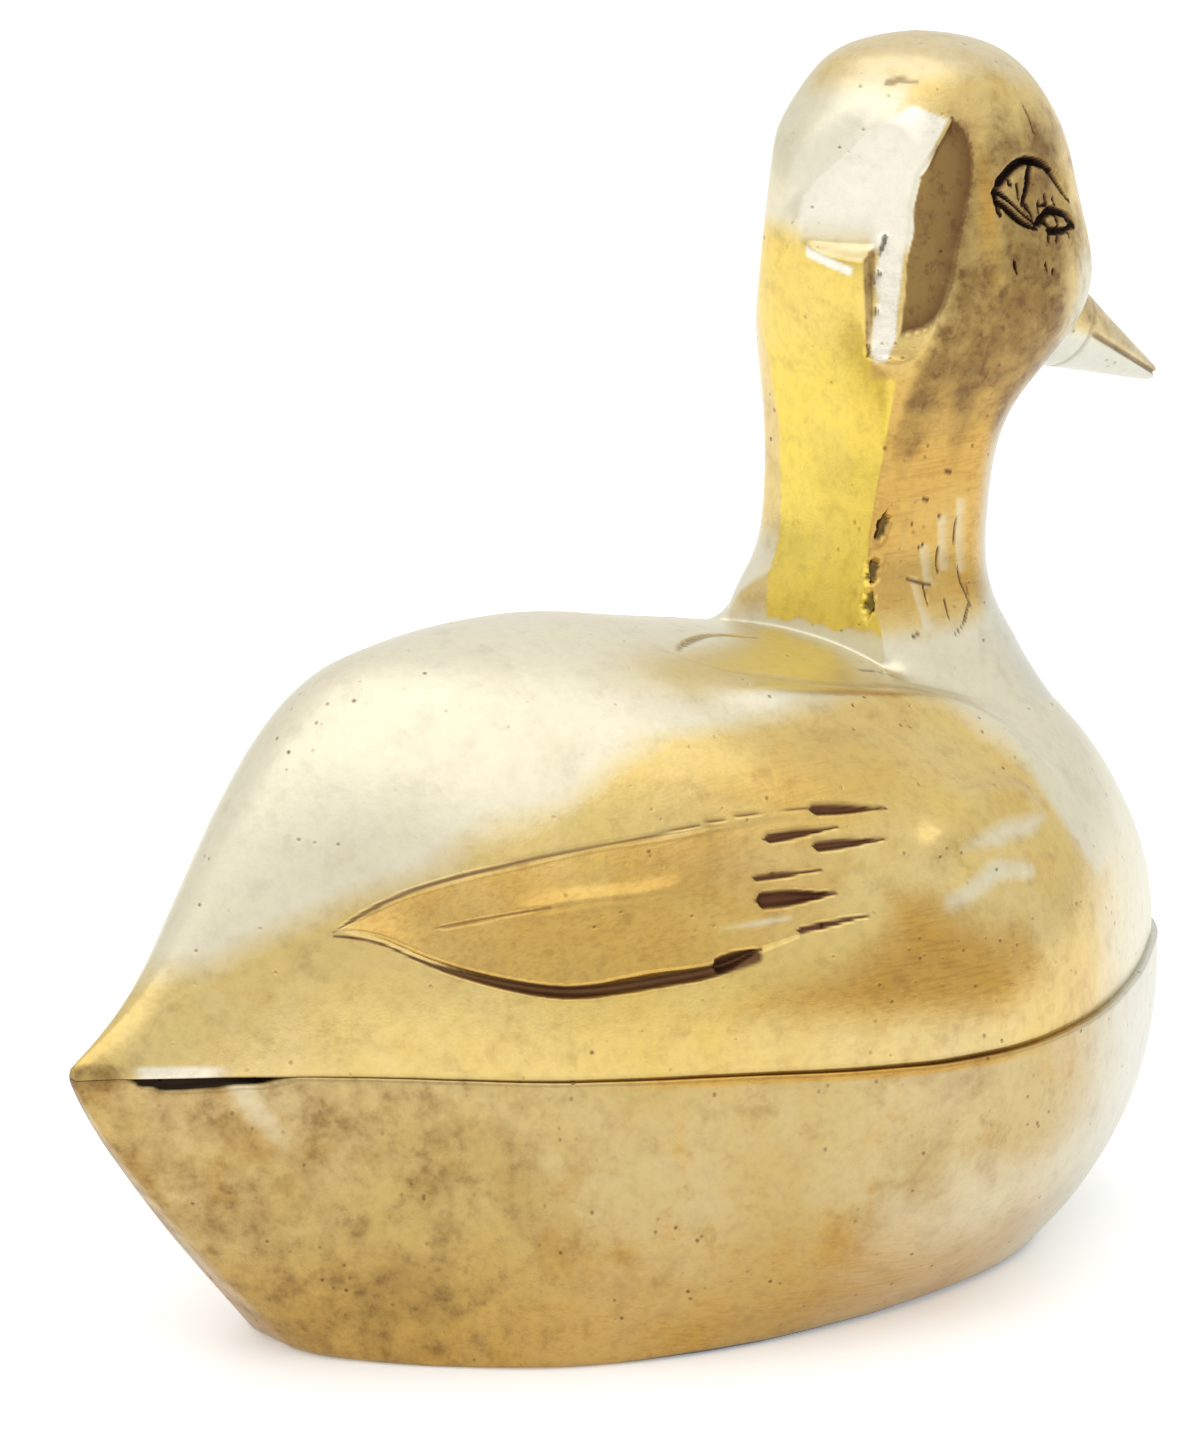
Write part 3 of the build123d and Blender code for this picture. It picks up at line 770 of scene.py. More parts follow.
def lower_hull():
    side_rows, columns = HULL_GRID
    levels = []
    for t in np.linspace(0, math.pi / 2, FOOT_ROUNDING_STEPS + 1)[:-1]:
        levels.append((FOOT_EDGE * (1 - math.cos(t)) / WATERLINE, FOOT_EDGE * (1 - math.sin(t))))
    levels += [(share, 0.0) for share in np.linspace(FOOT_EDGE / WATERLINE, RIM_SHARE, side_rows)]
    levels += [(1.0, inset) for inset in RIM_INSETS]
    rings = []
    for share, inset in levels:
        line = drawn_in(hull_outline(share, columns), inset)
        slope = SEAM_SLOPE * share
        x = line[:, 0] * math.cos(slope)
        z = WATERLINE * share - line[:, 0] * math.sin(slope)
        rings.append(np.stack([x, line[:, 1], z], 1))
    rows = len(rings)
    points = np.concatenate(rings)
    x, _, z = points.T
    below = below_seam(points)
    depth = np.interp(x, *np.transpose(TAIL_GAP_DEPTH))
    gap = paint(TAIL_GAP, x=x)["gap"] * smooth_step(below, depth + TAIL_GAP_EDGE, depth)
    sunk = points.copy()
    sunk[:, 1] *= 1 - TAIL_GAP_SINK * gap
    piece = new_piece("lower_hull_casting", sunk, capped(rows, columns), flat_last=2)
    streak, along = path_distance(mirrored(points), HULL_STREAK)
    ledge = np.repeat(np.arange(rows) >= rows - 3, columns) * 1.0
    tones = paint(HULL_TONES, x=x, z=z, below=below, ledge=ledge, streak=streak)
    gleam = tones.pop("gleam") * (1 - 0.6 * along)
    tones["haze"] = most(tones["haze"], 0.5 * gleam)
    tones["warm"] = tones["warm"] * (1 - gleam)
    tones["olive"] = most(tones["olive"] * (1 - gleam), tones.pop("smudge"))
    # The open stretch of the seam at the tail is painted black as the shade inside it
    tones["soot"] = most(tones["soot"], gap)
    store(piece, **tones)
    return piece


def ring_shares(columns):
    """Places round a ring, closer together on the cheeks than in front and behind."""
    fine = np.linspace(0, 1, 2001)
    crowd = 1 + 0.9 * (np.exp(-(((fine - 0.23) / 0.1) ** 4)) + np.exp(-(((fine - 0.75) / 0.13) ** 4)))
    run = np.cumsum(crowd) - crowd[0]
    return np.interp(np.linspace(0, 1, columns + 1)[:-1], run / run[-1], fine)


def neck_ring(ring, columns):
    """Level ring round the neck or head, squarer behind than in front."""
    height, lean, half_length, half_width, behind, ahead = ring
    turn = np.linspace(0, 2 * math.pi, 1441)[:-1]
    c, s = np.cos(turn), np.sin(turn)
    power = 2 / np.where(c < 0, behind, ahead)
    x = np.sign(c) * np.abs(c) ** power * HEAD_HALF_LENGTH * half_length
    y = np.sign(s) * np.abs(s) ** power * HEAD_HALF_WIDTH * half_width
    line = by_distance(np.stack([x, y], 1), ring_shares(columns), closed=True)
    x = line[:, 0] + NECK_X + HEAD_HALF_LENGTH * lean
    return np.stack([x, line[:, 1], np.full(columns, NECK_FOOT_Z + NECK_HEAD_HEIGHT * height)], 1)


def file_flat(points, flat, soft, lift):
    """Surface filed down to a flat that rises by lift where less is taken off."""
    direction, place = (np.asarray(v, float) for v in flat)
    direction = direction / np.linalg.norm(direction)
    over = (points - place) @ direction - lift
    over = 0.5 * (over + np.sqrt(over**2 + soft**2))
    over[over < soft * 0.02] = 0
    return points - over[:, None] * direction


def drop_on(tree, x, y):
    place, normal, _, _ = tree.ray_cast(Vector((x, y, 200.0)), Vector((0, 0, -1)))
    return np.array(place) if place else None


# Foot of the neck: rows of its hollow curve, columns over which its height is evened out on either
# side, how deep its edge is sunk in the back, and the row that stands for the neck above it
CURVE_ROWS = 41
MEETS_SPREAD = 7
FOOT_SUNK = 0.04
NECK_FOOT_ROW = 20


def seat_on_body(grid, tree, reaches):
    """Run the neck's foot out over the back and breast in a hollow curve."""
    rows, columns = grid.shape[:2]
    index = np.arange(rows)
    meets = np.zeros(columns)
    for j in range(columns):
        last_gap = -1.0
        for i in range(rows // 2):
            below = drop_on(tree, *grid[i, j, :2])
            gap = 1.0 if below is None else grid[i, j, 2] - below[2]
            if gap > 0:
                meets[j] = max(i - gap / (gap - last_gap), 0)
                break
            last_gap = gap
    window = 2 * MEETS_SPREAD + 1
    meets = np.convolve(np.pad(meets, MEETS_SPREAD, "wrap"), np.ones(window) / window, "valid")
    middle = np.array([grid[NECK_FOOT_ROW, :, 0].mean(), 0])
    t = np.linspace(0, 1, CURVE_ROWS)[:, None]
    seated = np.empty_like(grid)
    for j in range(columns):
        column = grid[:, j]
        along = np.concatenate([[0], np.cumsum(np.linalg.norm(np.diff(column, axis=0), axis=1))])
        start = np.interp(meets[j], index, along)
        top = np.interp(start + reaches[j], along, index)
        ends = np.stack([np.interp([meets[j], top], index, column[:, k]) for k in range(3)], 1)
        corner, head = ends
        foot = drop_on(tree, *(corner[:2] + unit(corner[:2] - middle) * reaches[j]))
        if foot is None:
            foot = corner - [0, 0, reaches[j]]
        foot = foot - [0, 0, FOOT_SUNK]
        seated[:CURVE_ROWS, j] = (1 - t) ** 2 * foot + 2 * t * (1 - t) * corner + t**2 * head
        above = np.linspace(top, rows - 1, rows - CURVE_ROWS + 1)[1:]
        seated[CURVE_ROWS:, j] = np.stack([np.interp(above, index, column[:, k]) for k in range(3)], 1)
    return seated


# Filing of the neck and head: softness of the neck's flat, which grows upwards, and its lift;
# the height and place across at which the head's flat starts, how far it is held off elsewhere,
# and the facet's line: where it starts, its run across and up, and its length
NECK_FLAT_SOFT = (0.25, 0.09, 85)
NECK_FLAT_LIFT = (0.018, 88)
HEAD_FLAT_UP = (109.5, 113.5)
HEAD_FLAT_ACROSS = (22.6, 23.8)
HEAD_FLAT_FOOT = (101.5, 97.5)
FLAT_SOFT = 0.3
FLAT_SOFT_BEYOND = 1.3
FLAT_HELD_OFF = 4
LEFT_FLAT_BACK = 1.5
LEFT_FLAT_UP = (97, 92)
FACET_LINE = ((15.0, 114.6), (12.2, 13.6), 18.3)
# Where the sides of the neck's foot are open, and where its front begins, which runs out further
OPEN_SIDE = (0.4, 3.0)
NECK_FRONT = (40, 50)
# Middle, reach and extra share of the rows that crowd at the height of the eyes
EYE_ROWS = (116, 10, 0.9)


def neck_and_head(tree):
    rows, columns = HEAD_GRID
    rings = [neck_ring(ring, columns) for ring in NECK_RINGS]
    top = np.array([NECK_X, 0, NECK_FOOT_Z + NECK_HEAD_HEIGHT])
    rings.append(np.tile(top, (columns, 1)))
    run = natural_spline(rings, np.linspace(0, 1, 3001))
    behind = run[:, columns // 2]
    steps = np.linalg.norm(np.diff(behind, axis=0), axis=1)
    middle, reach, extra = EYE_ROWS
    steps = steps * (1 + extra * np.exp(-(((behind[1:, 2] - middle) / reach) ** 4)))
    along = np.concatenate([[0], np.cumsum(steps)])
    grid = run[np.searchsorted(along, np.linspace(0, along[-1], rows + 1)[:-1])]

    points = grid.reshape(-1, 3)
    z = points[:, 2]
    soft, growth, start = NECK_FLAT_SOFT
    bend, lifts = NECK_FLAT_LIFT
    soft = soft + growth * np.maximum(z - start, 0)
    grid = file_flat(points, NECK_FLAT, soft, bend * np.maximum(z - lifts, 0) ** 2).reshape(grid.shape)
    base = grid[NECK_FOOT_ROW]
    filed = (base - np.array(NECK_FLAT[1])) @ np.array(NECK_FLAT[0])
    reaches = 0.5 + smooth_step(-filed, *OPEN_SIDE) * (3.5 + 2.5 * smooth_step(base[:, 0], *NECK_FRONT))
    points = seat_on_body(grid, tree, reaches).reshape(-1, 3)

    z = points[:, 2]
    across = points @ FLAT_ACROSS
    untouched = 1 - most(smooth_step(z, *HEAD_FLAT_UP), smooth_step(across, *HEAD_FLAT_ACROSS))
    untouched = most(untouched, smooth_step(z, *HEAD_FLAT_FOOT))
    (u0, z0), (run_across, run_up), length = FACET_LINE
    beyond = ((z - z0) * run_across - (across - u0) * run_up) / length
    direction, place = (np.array(v) for v in HEAD_FLAT)
    soft = FLAT_SOFT + FLAT_SOFT_BEYOND * smooth_step(beyond, 0.2, 3.0)
    points = file_flat(points, (direction, place), soft, FLAT_HELD_OFF * untouched)
    fold = np.array([1, -1, 1])
    left_flat = (direction * fold, (place + direction * LEFT_FLAT_BACK) * fold)
    points = file_flat(points, left_flat, FLAT_SOFT, FLAT_HELD_OFF * smooth_step(z, *LEFT_FLAT_UP))

    normal = grid_normals(points.reshape(grid.shape), True).reshape(-1, 3)
    relief = Relief(points)
    head_shape(relief, points, normal)
    points = points + normal * relief.height[:, None]
    pole = rows * columns
    last = pole - columns
    faces = grid_faces(rows, columns, True)
    faces += [(last + j, last + (j + 1) % columns, pole) for j in range(columns)]
    faces.append(tuple(range(columns - 1, -1, -1)))
    piece = new_piece("neck_and_head_casting", np.concatenate([points, top[None]]), faces)
    tones = head_tones(points, normal)
    tones.update(dirt=relief.dirt, soot=relief.soot)
    store(piece, **{name: np.append(values, values[-1]) for name, values in tones.items()})
    return piece


# Relief of the head: how far out the cheeks begin, the sunk bed of the eye, the depth of the scoop
# and how fast it gets there, the shade along its rim, and the chips of the neck's edge
CHEEK_FROM = 6
EYE_BED_ALONG = (45, 6)
EYE_BED_UP = (117.2, 3.6)
EYE_BED_SINK = 0.4
SCOOP_DEPTH = 1.1
SCOOP_ROUND = 0.7
SCOOP_RIM = 11
NECK_SIDE_FROM = 7
CHIP_LEAN = 0.3
CHIP_HALF_WIDTH = 0.9
CHIP_DEPTH = 0.75
CHIP_BURR = 0.06


def on_side(line):
    """Points of a line of the side view."""
    return np.array([(x, 0, z) for x, z in line])


def head_shape(relief, points, normal):
    """Scoops, eyes and brows in both cheeks, and the chips and cracks of the filed neck."""
    _, y, z = points.T
    folded = mirrored(points)
    side = Relief(folded * [1, 0, 1])
    for line, width, depth in EYE_LINES:
        side.cut(smooth_line(on_side(line), 10), width, depth, tail=0.3)
    side.ridge(on_side(LOWER_LID), width=0.55, height=0.4)
    side.cut(on_side(BROW), width=0.6, depth=0.4, dirt=0.7)
    side.ridge(on_side(BROW) + [-0.8, 0, 0.3], width=0.6, height=0.25)
    cheek = np.abs(y) > CHEEK_FROM
    hollow = depth_inside(side_view(folded), SCOOP) * cheek
    eye_bed = bell(folded[:, 0], *EYE_BED_ALONG) * bell(z, *EYE_BED_UP)
    relief.height += (side.height - EYE_BED_SINK * smooth_step(eye_bed, 0.3, 0.6)) * cheek
    relief.height -= SCOOP_DEPTH * (1 - np.exp(-hollow / SCOOP_ROUND))
    rim, _ = path_distance(side_view(points), SCOOP[:SCOOP_RIM])
    shade = bell(rim, 0, 1.5) * (hollow > 0) * (y < -CHEEK_FROM)
    # Painted shade along the scoop's rim, kept with the dirt
    relief.dirt = most(relief.dirt, side.dirt * cheek, 0.55 * shade)
    relief.soot = 0.62 * side.dirt * cheek

    face = Relief(np.stack([points @ FLAT_ACROSS, np.zeros(len(points)), z], 1))
    for chip in FACET_CHIPS:
        face.cut(on_side(chip), width=0.8, depth=0.45, tail=0.2)
    facing = smooth_step(normal @ unit(np.array(HEAD_FLAT[0])), 0.7, 0.85)
    relief.height += face.height * facing
    relief.soot = most(relief.soot, 0.5 * face.dirt * facing)

    marks = Relief(points * [1, 0, 1])
    for line, width, depth in NECK_MARKS:
        marks.cut(on_side(line), width, depth, dirt=0.85, tail=0.2)
    bared = y < -NECK_SIDE_FROM
    relief.height += marks.height * bared
    relief.dirt = most(relief.dirt, marks.dirt * bared)

    ragged = np.sin(z * 4.1) * 0.14 + np.sin(z * 9.7 + 1.0) * 0.09
    for middle, half in EDGE_CHIPS:
        rel = points - np.array(middle)
        rel[:, 0] -= CHIP_LEAN * rel[:, 2]
        d = np.linalg.norm(rel / [CHIP_HALF_WIDTH, CHIP_HALF_WIDTH, half], axis=1) + ragged
        relief.height += CHIP_BURR * bell(d, 1.35, 0.25) - CHIP_DEPTH * smooth_step(1.2 - d, 0, 0.7)
        relief.soot = most(relief.soot, 0.5 * smooth_step(1.05 - d, 0, 0.3))
    for path, width, depth, dirt in HEAD_STROKES:
        relief.cut(path, width, depth, dirt=dirt, tail=0.3)
    relief.cut(smooth_line(NECK_CRACK), width=0.35, depth=0.3, dirt=0.7)
    relief.cut(smooth_line(NECK_SPLIT), width=0.4, depth=0.35, dirt=0.8)


# Tones of the head and neck: along and up the duck, across the filed flat, and by the way that the
# surface faces: ahead, aside to the duck's left, on either cheek, upwards, and towards the flat's front
HEAD_TONES = (
    # The filed facet and its edge are painted white as reflection
    ("filed", 1.0, {"filed": (0, 0.35), "towards": (0.35, 0.6)}),
    ("dull", 0.75, {"z": (117, 113), "across": (24.5, 22.5)}),
    ("edge", 1.0, {"edge": (0, 0.25), "towards": (0.35, 0.6)}),
    # Painted reflection where the surface faces the flat's direction
    ("fresh_and_reflection", 1.0, {"towards": (0.80, 0.97), "z": (111, 114)}),
    # Painted shade inside the scoop, in the olive tone
    ("scoop_shade", 1.0, {"hollow": (0, 0.3), "right": (0, 1)}),
    ("ember", 1.0, {"x": (37.6, 1.8, "bell"), "z": (117, 9, "bell"), "right": (0, 1)}),
    ("cheek", 0.8, {"cheek": (0.35, 0.6), "ahead": (-0.55, -0.2), "wavy": (86, 99), "z": (129, 122)}),
    ("face", 0.6, {"x": (47, 52)}),
    ("nape", 0.8, {"aside": (-0.80, -0.45), "ahead": (-0.2, -0.5), "z": (109, 116)}),
    ("worn", 0.5, {"z": (127, 133)}),
    ("collar", 1.0, {"aside": (-0.35, 0.3), "ahead": (0.1, -0.4), "z": (82, 76)}),
    # Paler where the head faces up: partly haze, partly painted highlight
    ("haze", 0.5, {"upwards": (0.35, 0.8)}),
    ("haze", 0.75, {"ahead": (0.25, 0.6), "z": (116, 108)}),
    ("warm", 0.75, {"z": (70, 74, 96, 106), "right": (0, 1)}),
    ("warm", 0.65, {"x": (34.8, 3.0, "bell"), "z": (72.0, 2.8, "bell"), "right": (0, 1)}),
    ("silver", 0.75, {"ahead": (0.2, 0.7), "z": (112, 104)}),
    ("neck", 1.0, {"z": (67.5, 73.5)}),
    ("gilt", 1.0, {"behind": (0.80, 0.90), "jagged": (70.2, 70.9), "z": (116, 111)}),
    ("gilt side", 1.0, {"across": (24.0, 23.4)}),
    ("gilt side", 1.0, {"z": (99, 98)}),
    ("gilt dull", 0.35, {"z": (94, 106)}),
)
# Left border of the raw metal on the neck: where it starts, its lean, and the height that it starts at;
# how much looser it gets above, and the heights over which the neck's own tones start
GILT_BORDER = (3, 0.12, 70)
GILT_LOOSER = 0.16
NECK_START = (67.0, 69.0)


def head_tones(points, normal):
    """Patina of the head and neck, the raw metal of their flats, and the facets painted pale and white as
    reflection.
    """
    x, y, z = points.T
    ahead, aside, upwards = normal.T
    across = points @ FLAT_ACROSS
    on_flat = np.stack([across, z], 1)
    right = (y < -CHEEK_FROM) * 1.0
    tones = paint(
        HEAD_TONES,
        x=x,
        z=z,
        ahead=ahead,
        aside=aside,
        upwards=upwards,
        across=across,
        right=right,
        cheek=np.abs(aside),
        behind=GILT_LOOSER * smooth_step(z, 90, 100) - ahead,
        towards=normal @ unit(np.array(HEAD_FLAT[0])),
        filed=depth_inside(on_flat, FACET),
        edge=depth_inside(on_flat, FACET_EDGE),
        hollow=depth_inside(side_view(points), SCOOP),
        wavy=z + 2 * np.sin(x * 0.9),
        jagged=z + np.sin(y * 0.8) * 0.3 + np.sin(y * 1.9 + 1) * 0.2,
    )
    facet = most(tones["filed"] * (1 - tones["dull"]), tones["edge"])
    fresh_and_reflection = tones["fresh_and_reflection"] * (1 - tones["scoop_shade"])
    cheek = tones["cheek"] * (1 - 0.7 * tones["ember"]) * (1 - tones["face"])
    pale = np.zeros(len(points))
    for (x0, z0), (x1, z1) in NECK_PALE:
        within = smooth_step(np.minimum.reduce([x - x0, z - z0, z1 - z]), -0.3, 0.3)
        pale = most(pale, 0.55 * within * smooth_step(x - x0, x1 - x0 + 0.6, 0.3))
    nape = most(tones["nape"] * (1 - tones["worn"]), 0.8 * tones["collar"])
    haze = most(tones["haze"], nape, pale * right, 0.9 * fresh_and_reflection)
    warm = most(tones["warm"], 0.9 * tones["ember"]) * (1 - pale)
    start, lean, height = GILT_BORDER
    gilt = tones["gilt"] * tones["gilt side"] * (y < start + (z - height) * lean)
    gilt = gilt * (1 - facet) * (1 - tones["gilt dull"])
    foot = 1 - tones["neck"] * smooth_step(z, *NECK_START)
    body = body_tones(points)
    return {
        "haze": (haze + (body["haze"] - haze) * foot) * (1 - gilt),
        "warm": warm + (body["warm"] - warm) * foot,
        "olive": most(cheek, tones["scoop_shade"]) * (1 - foot) * (1 - facet),
        "gilt": gilt,
        "bare": most(facet, 0.45 * fresh_and_reflection, body["bare"] * foot, 0.4 * tones["collar"]) * (1 - gilt),
        "silver": tones["silver"],
    }


# Bill: turns of its rounded tip and how far that reaches, depth of the mouth's line, and its tones by
# the share of its height from the middle, the distance along it and from its root's line, and facing
BILL_TIP_TURNS = (0.5, 0.9, 1.25)
BILL_TIP = 0.2
MOUTH_CUT = 0.35
ROOT_LINE = 3.6
BILL_TONES = (
    ("mouth", 1.0, {"middle": (0.075, 0.02), "along": (3.0, 5.0)}),
    ("root", 0.35, {"root": (0.5, 0)}),
    ("under", 1.0, {"down": (0, 0.5)}),
)


def bill():
    rows, columns = BILL_GRID
    turn = np.linspace(0, 2 * math.pi, columns, endpoint=False)
    ahead = np.array([math.cos(BILL_DROOP), 0, -math.sin(BILL_DROOP)])
    up = np.array([math.sin(BILL_DROOP), 0, math.cos(BILL_DROOP)])
    aside = np.array([0, -1, 0])
    root = np.array([BILL_ROOT_X, 0, BILL_ROOT_Z])
    sections = []
    for along, width, height in BILL_SECTIONS:
        around = np.outer(np.cos(turn) * BILL_HALF_WIDTH * width, aside)
        around += np.outer(np.sin(turn) * BILL_HALF_HEIGHT * height, up)
        sections.append(root + ahead * BILL_LENGTH * along + around)
    grid = natural_spline(sections, np.linspace(0, 1, rows))
    end = grid[-1]
    middle = end.mean(0)
    tip = [middle + (end - middle) * math.cos(t) + ahead * BILL_TIP * math.sin(t) for t in BILL_TIP_TURNS]
    grid = np.concatenate([grid, tip])
    points = grid.reshape(-1, 3)
    normal = grid_normals(grid, True, -1).reshape(-1, 3)
    along = (points - root) @ ahead
    tones = paint(
        BILL_TONES,
        middle=np.abs((points - root) @ up) / BILL_HALF_HEIGHT,
        along=along,
        root=np.abs(along - ROOT_LINE),
        down=-normal[:, 2],
    )
    mouth, under = tones["mouth"], tones["under"]
    points = points - normal * (MOUTH_CUT * mouth)[:, None]
    piece = new_piece("bill_casting", points, capped(len(grid), columns))
    dirt = most(0.6 * mouth, tones["root"])
    store(piece, dirt=dirt, haze=0.45 + 0.5 * under, olive=0.3 * (1 - under), silver=0.75 * under)
    return piece


class Value:
    """A node socket that Python's own signs work on."""

    def __init__(self, tree, socket):
        self.tree = tree
        self.socket = socket

    def maths(self, operation, *others, clamp=False):
        node = self.tree.nodes.new("ShaderNodeMath")
        node.operation = operation
        node.use_clamp = clamp
        for slot, other in zip(node.inputs, (self, *others)):
            plug(self.tree, slot, other)
        return Value(self.tree, node.outputs[0])

    def __add__(self, other):
        return self.maths("ADD", other)

    def __radd__(self, other):
        return self.maths("ADD", other)

    def __sub__(self, other):
        return self.maths("SUBTRACT", other)

    def __rsub__(self, other):
        return self.maths("MULTIPLY", -1.0).maths("ADD", other)

    def __mul__(self, other):
        return self.maths("MULTIPLY", other)

    def __rmul__(self, other):
        return self.maths("MULTIPLY", other)

    def between(self, low, high):
        """Nought below low, one above high, and a straight run between."""
        return ((self - low) * (1 / (high - low))).maths("MAXIMUM", 0.0).maths("MINIMUM", 1.0)


def plug(tree, slot, value):
    if isinstance(value, Value):
        tree.links.new(value.socket, slot)
    else:
        slot.default_value = value


class Network:
    """A node tree, with one call that adds any node."""

    def __init__(self, tree):
        self.tree = tree

    def node(self, kind, settings=None, inputs=None, output=0):
        node = self.tree.nodes.new(kind)
        for key, value in (settings or {}).items():
            if key == "stops":
                ramp(node, value)
            else:
                setattr(node, key, value)
        for key, value in (inputs or {}).items():
            plug(self.tree, node.inputs[key], value)
        return Value(self.tree, node.outputs[output])

    def feed(self, node, **inputs):
        for key, value in inputs.items():
            plug(self.tree, node.inputs[key.replace("_", " ")], value)


def ramp(node, stops):
    elements = node.color_ramp.elements
    while len(elements) < len(stops):
        elements.new(0.5)
    for element, (place, colour) in zip(elements, stops):
        element.position = place
        element.color = colour


# Finishes in linear light
GOLDEN = (0.68, 0.485, 0.135, 1)
AGED = (0.49, 0.345, 0.11, 1)
PALE = (0.715, 0.665, 0.49, 1)
WARM = (0.56, 0.33, 0.072, 1)
OLIVE = (0.27, 0.17, 0.058, 1)
UMBER = (0.115, 0.045, 0.026, 1)
SOOT = (0.16, 0.10, 0.04, 1)
GILT = (0.78, 0.59, 0.105, 1)
# Pale white of bare metal, also used for painted highlight and painted reflection
BARE_AND_HIGHLIGHT = (0.87, 0.825, 0.69, 1)
SILVER = (0.60, 0.605, 0.53, 1)
RUST = (0.27, 0.13, 0.04, 1)
BLACKENED = (0.022, 0.014, 0.009, 1)


# Roughness of the cleanest metal, and height of the bump in metres
POLISH = 0.26
BUMP_HEIGHT = 0.14 * MM


def brass(name, base, haze_and_highlight_share, stain_share):
    """Old polished brass: clouded patina partly painted as highlight, brown stains, casting pits and fine
    scratches.
    """
    material = bpy.data.materials.new(name)
    material.use_nodes = True
    net = Network(material.node_tree)
    surface = material.node_tree.nodes["Principled BSDF"]
    place = net.node("ShaderNodeTexCoord", output=3)

    def noise(scale, detail=4.0, rough=0.55, twist=0.0):
        inputs = {"Vector": place, "Scale": scale, "Detail": detail, "Roughness": rough, "Distortion": twist}
        return net.node("ShaderNodeTexNoise", inputs=inputs)

    def layer(name):
        return net.node("ShaderNodeAttribute", {"attribute_name": name}, output=2)

    def mix(share, first, second):
        return net.node("ShaderNodeMix", {"data_type": "RGBA"}, {0: share, 6: first, 7: second}, output=2)

    cloud = noise(28.0, 5.0, 0.6, 0.6)
    blotch = noise(75.0, 5.0, 0.65, 0.8)
    mottle = noise(330.0, 4.0, 0.6)
    grain = noise(1500.0, 2.0, 0.6)
    speckle = noise(780.0, 3.0, 0.7)
    patches = (noise(40.0, 6.0, 0.68, 0.8) + (mottle - 0.5) * 0.3).between(0.50, 0.74)
    # The pale tone is partly haze and partly painted highlight
    haze = layer("haze")
    haze_and_highlight_edge = (haze + (cloud - 0.5) * 0.9 + (blotch - 0.5) * 0.35).between(0.25, 0.75) * haze_and_highlight_share
    stain = (blotch + (mottle - 0.5) * 0.5).between(0.52, 0.78) * stain_share
    warm = layer("warm")
    warm_edge = (warm + (blotch - 0.5) * 0.7 * warm.between(0.05, 0.4)).between(0.05, 0.95)
    olive = layer("olive")
    ragged = ((mottle - 0.5) * 1.2 + (blotch - 0.5) * 0.8) * olive.between(0.02, 0.3)
    olive_edge = (olive + ragged).between(0.1, 0.9)
    turned = {"Vector": place, "Rotation": (0.3, 0.5, 0.4), "Scale": (1.0, 14.0, 14.0)}
    scratch_place = net.node("ShaderNodeMapping", inputs=turned)
    settings = {"Vector": scratch_place, "Scale": 190.0, "Detail": 3.0}
    scratches = net.node("ShaderNodeTexNoise", inputs=settings)
    streaks = (scratches + (blotch - 0.5) * 0.4).between(0.5, 0.68)
    tone = mix(cloud.between(0.3, 0.7) * 0.35, base, PALE)
    tone = mix(stain, tone, WARM)
    tone = mix(haze_and_highlight_edge, tone, PALE)
    tone = mix(warm_edge, tone, WARM)
    tone = mix(olive_edge, tone, OLIVE)
    tone = mix((speckle + (mottle - 0.5) * 0.6).between(0.52, 0.70) * olive_edge * 0.5, tone, UMBER)
    clean = 1 - haze_and_highlight_edge * 0.5
    tone = mix(patches * clean * stain_share * 0.6, tone, RUST)
    tone = mix(streaks * warm * 0.35, tone, RUST)
    tone = mix(layer("bare"), tone, BARE_AND_HIGHLIGHT)
    silver = layer("silver")
    tone = mix((silver + (blotch - 0.5) * 0.5 * silver).between(0.0, 0.9), tone, SILVER)
    tone = mix(layer("gilt") * (0.95 - blotch.between(0.5, 0.8) * 0.35), tone, GILT)
    tone = mix(mottle.between(0.56, 0.72) * clean * 0.2, tone, SOOT)
    tone = mix(speckle.between(0.45, 0.75) * clean * 0.18, tone, SOOT)
    cells = net.node("ShaderNodeTexVoronoi", {"feature": "F1"}, {"Vector": place, "Scale": 520.0})
    chance = net.node("ShaderNodeTexNoise", inputs={"Vector": place, "Scale": 150.0, "Detail": 2.0})
    pits = (1 - cells.between(0.04, 0.16)) * chance.between(0.5, 0.62)
    tone = mix(pits * 0.7, tone, UMBER)
    # Dirt in grooves and joints, and painted shade along the scoop's rim
    tone = mix(layer("dirt"), tone, UMBER)
    # Blackening in cuts and chips, and painted shade in the tail's gap and along the foot
    tone = mix(layer("soot").between(0.15, 0.6), tone, BLACKENED)
    rough = POLISH + haze_and_highlight_edge * 0.12 + olive_edge * 0.16 + pits * 0.3 + (blotch - 0.5) * 0.16
    rough = rough + layer("dirt") * 0.35
    height = (mottle - 0.5) * 0.35 + (grain - 0.5) * 0.18 - pits * 1.4 + (scratches - 0.5) * 0.12
    bump = net.node("ShaderNodeBump", inputs={"Strength": 0.6, "Distance": BUMP_HEIGHT, "Height": height})
    net.feed(surface, Base_Color=tone, Metallic=1.0, Roughness=rough, Normal=bump)
    return material


SKIN_INPUTS = (
    ("Geometry", "Geometry"), ("Wave height", "Float"), ("Wave length", "Float"), ("Wave seed", "Float"),
    ("Finish", "Material"),
)


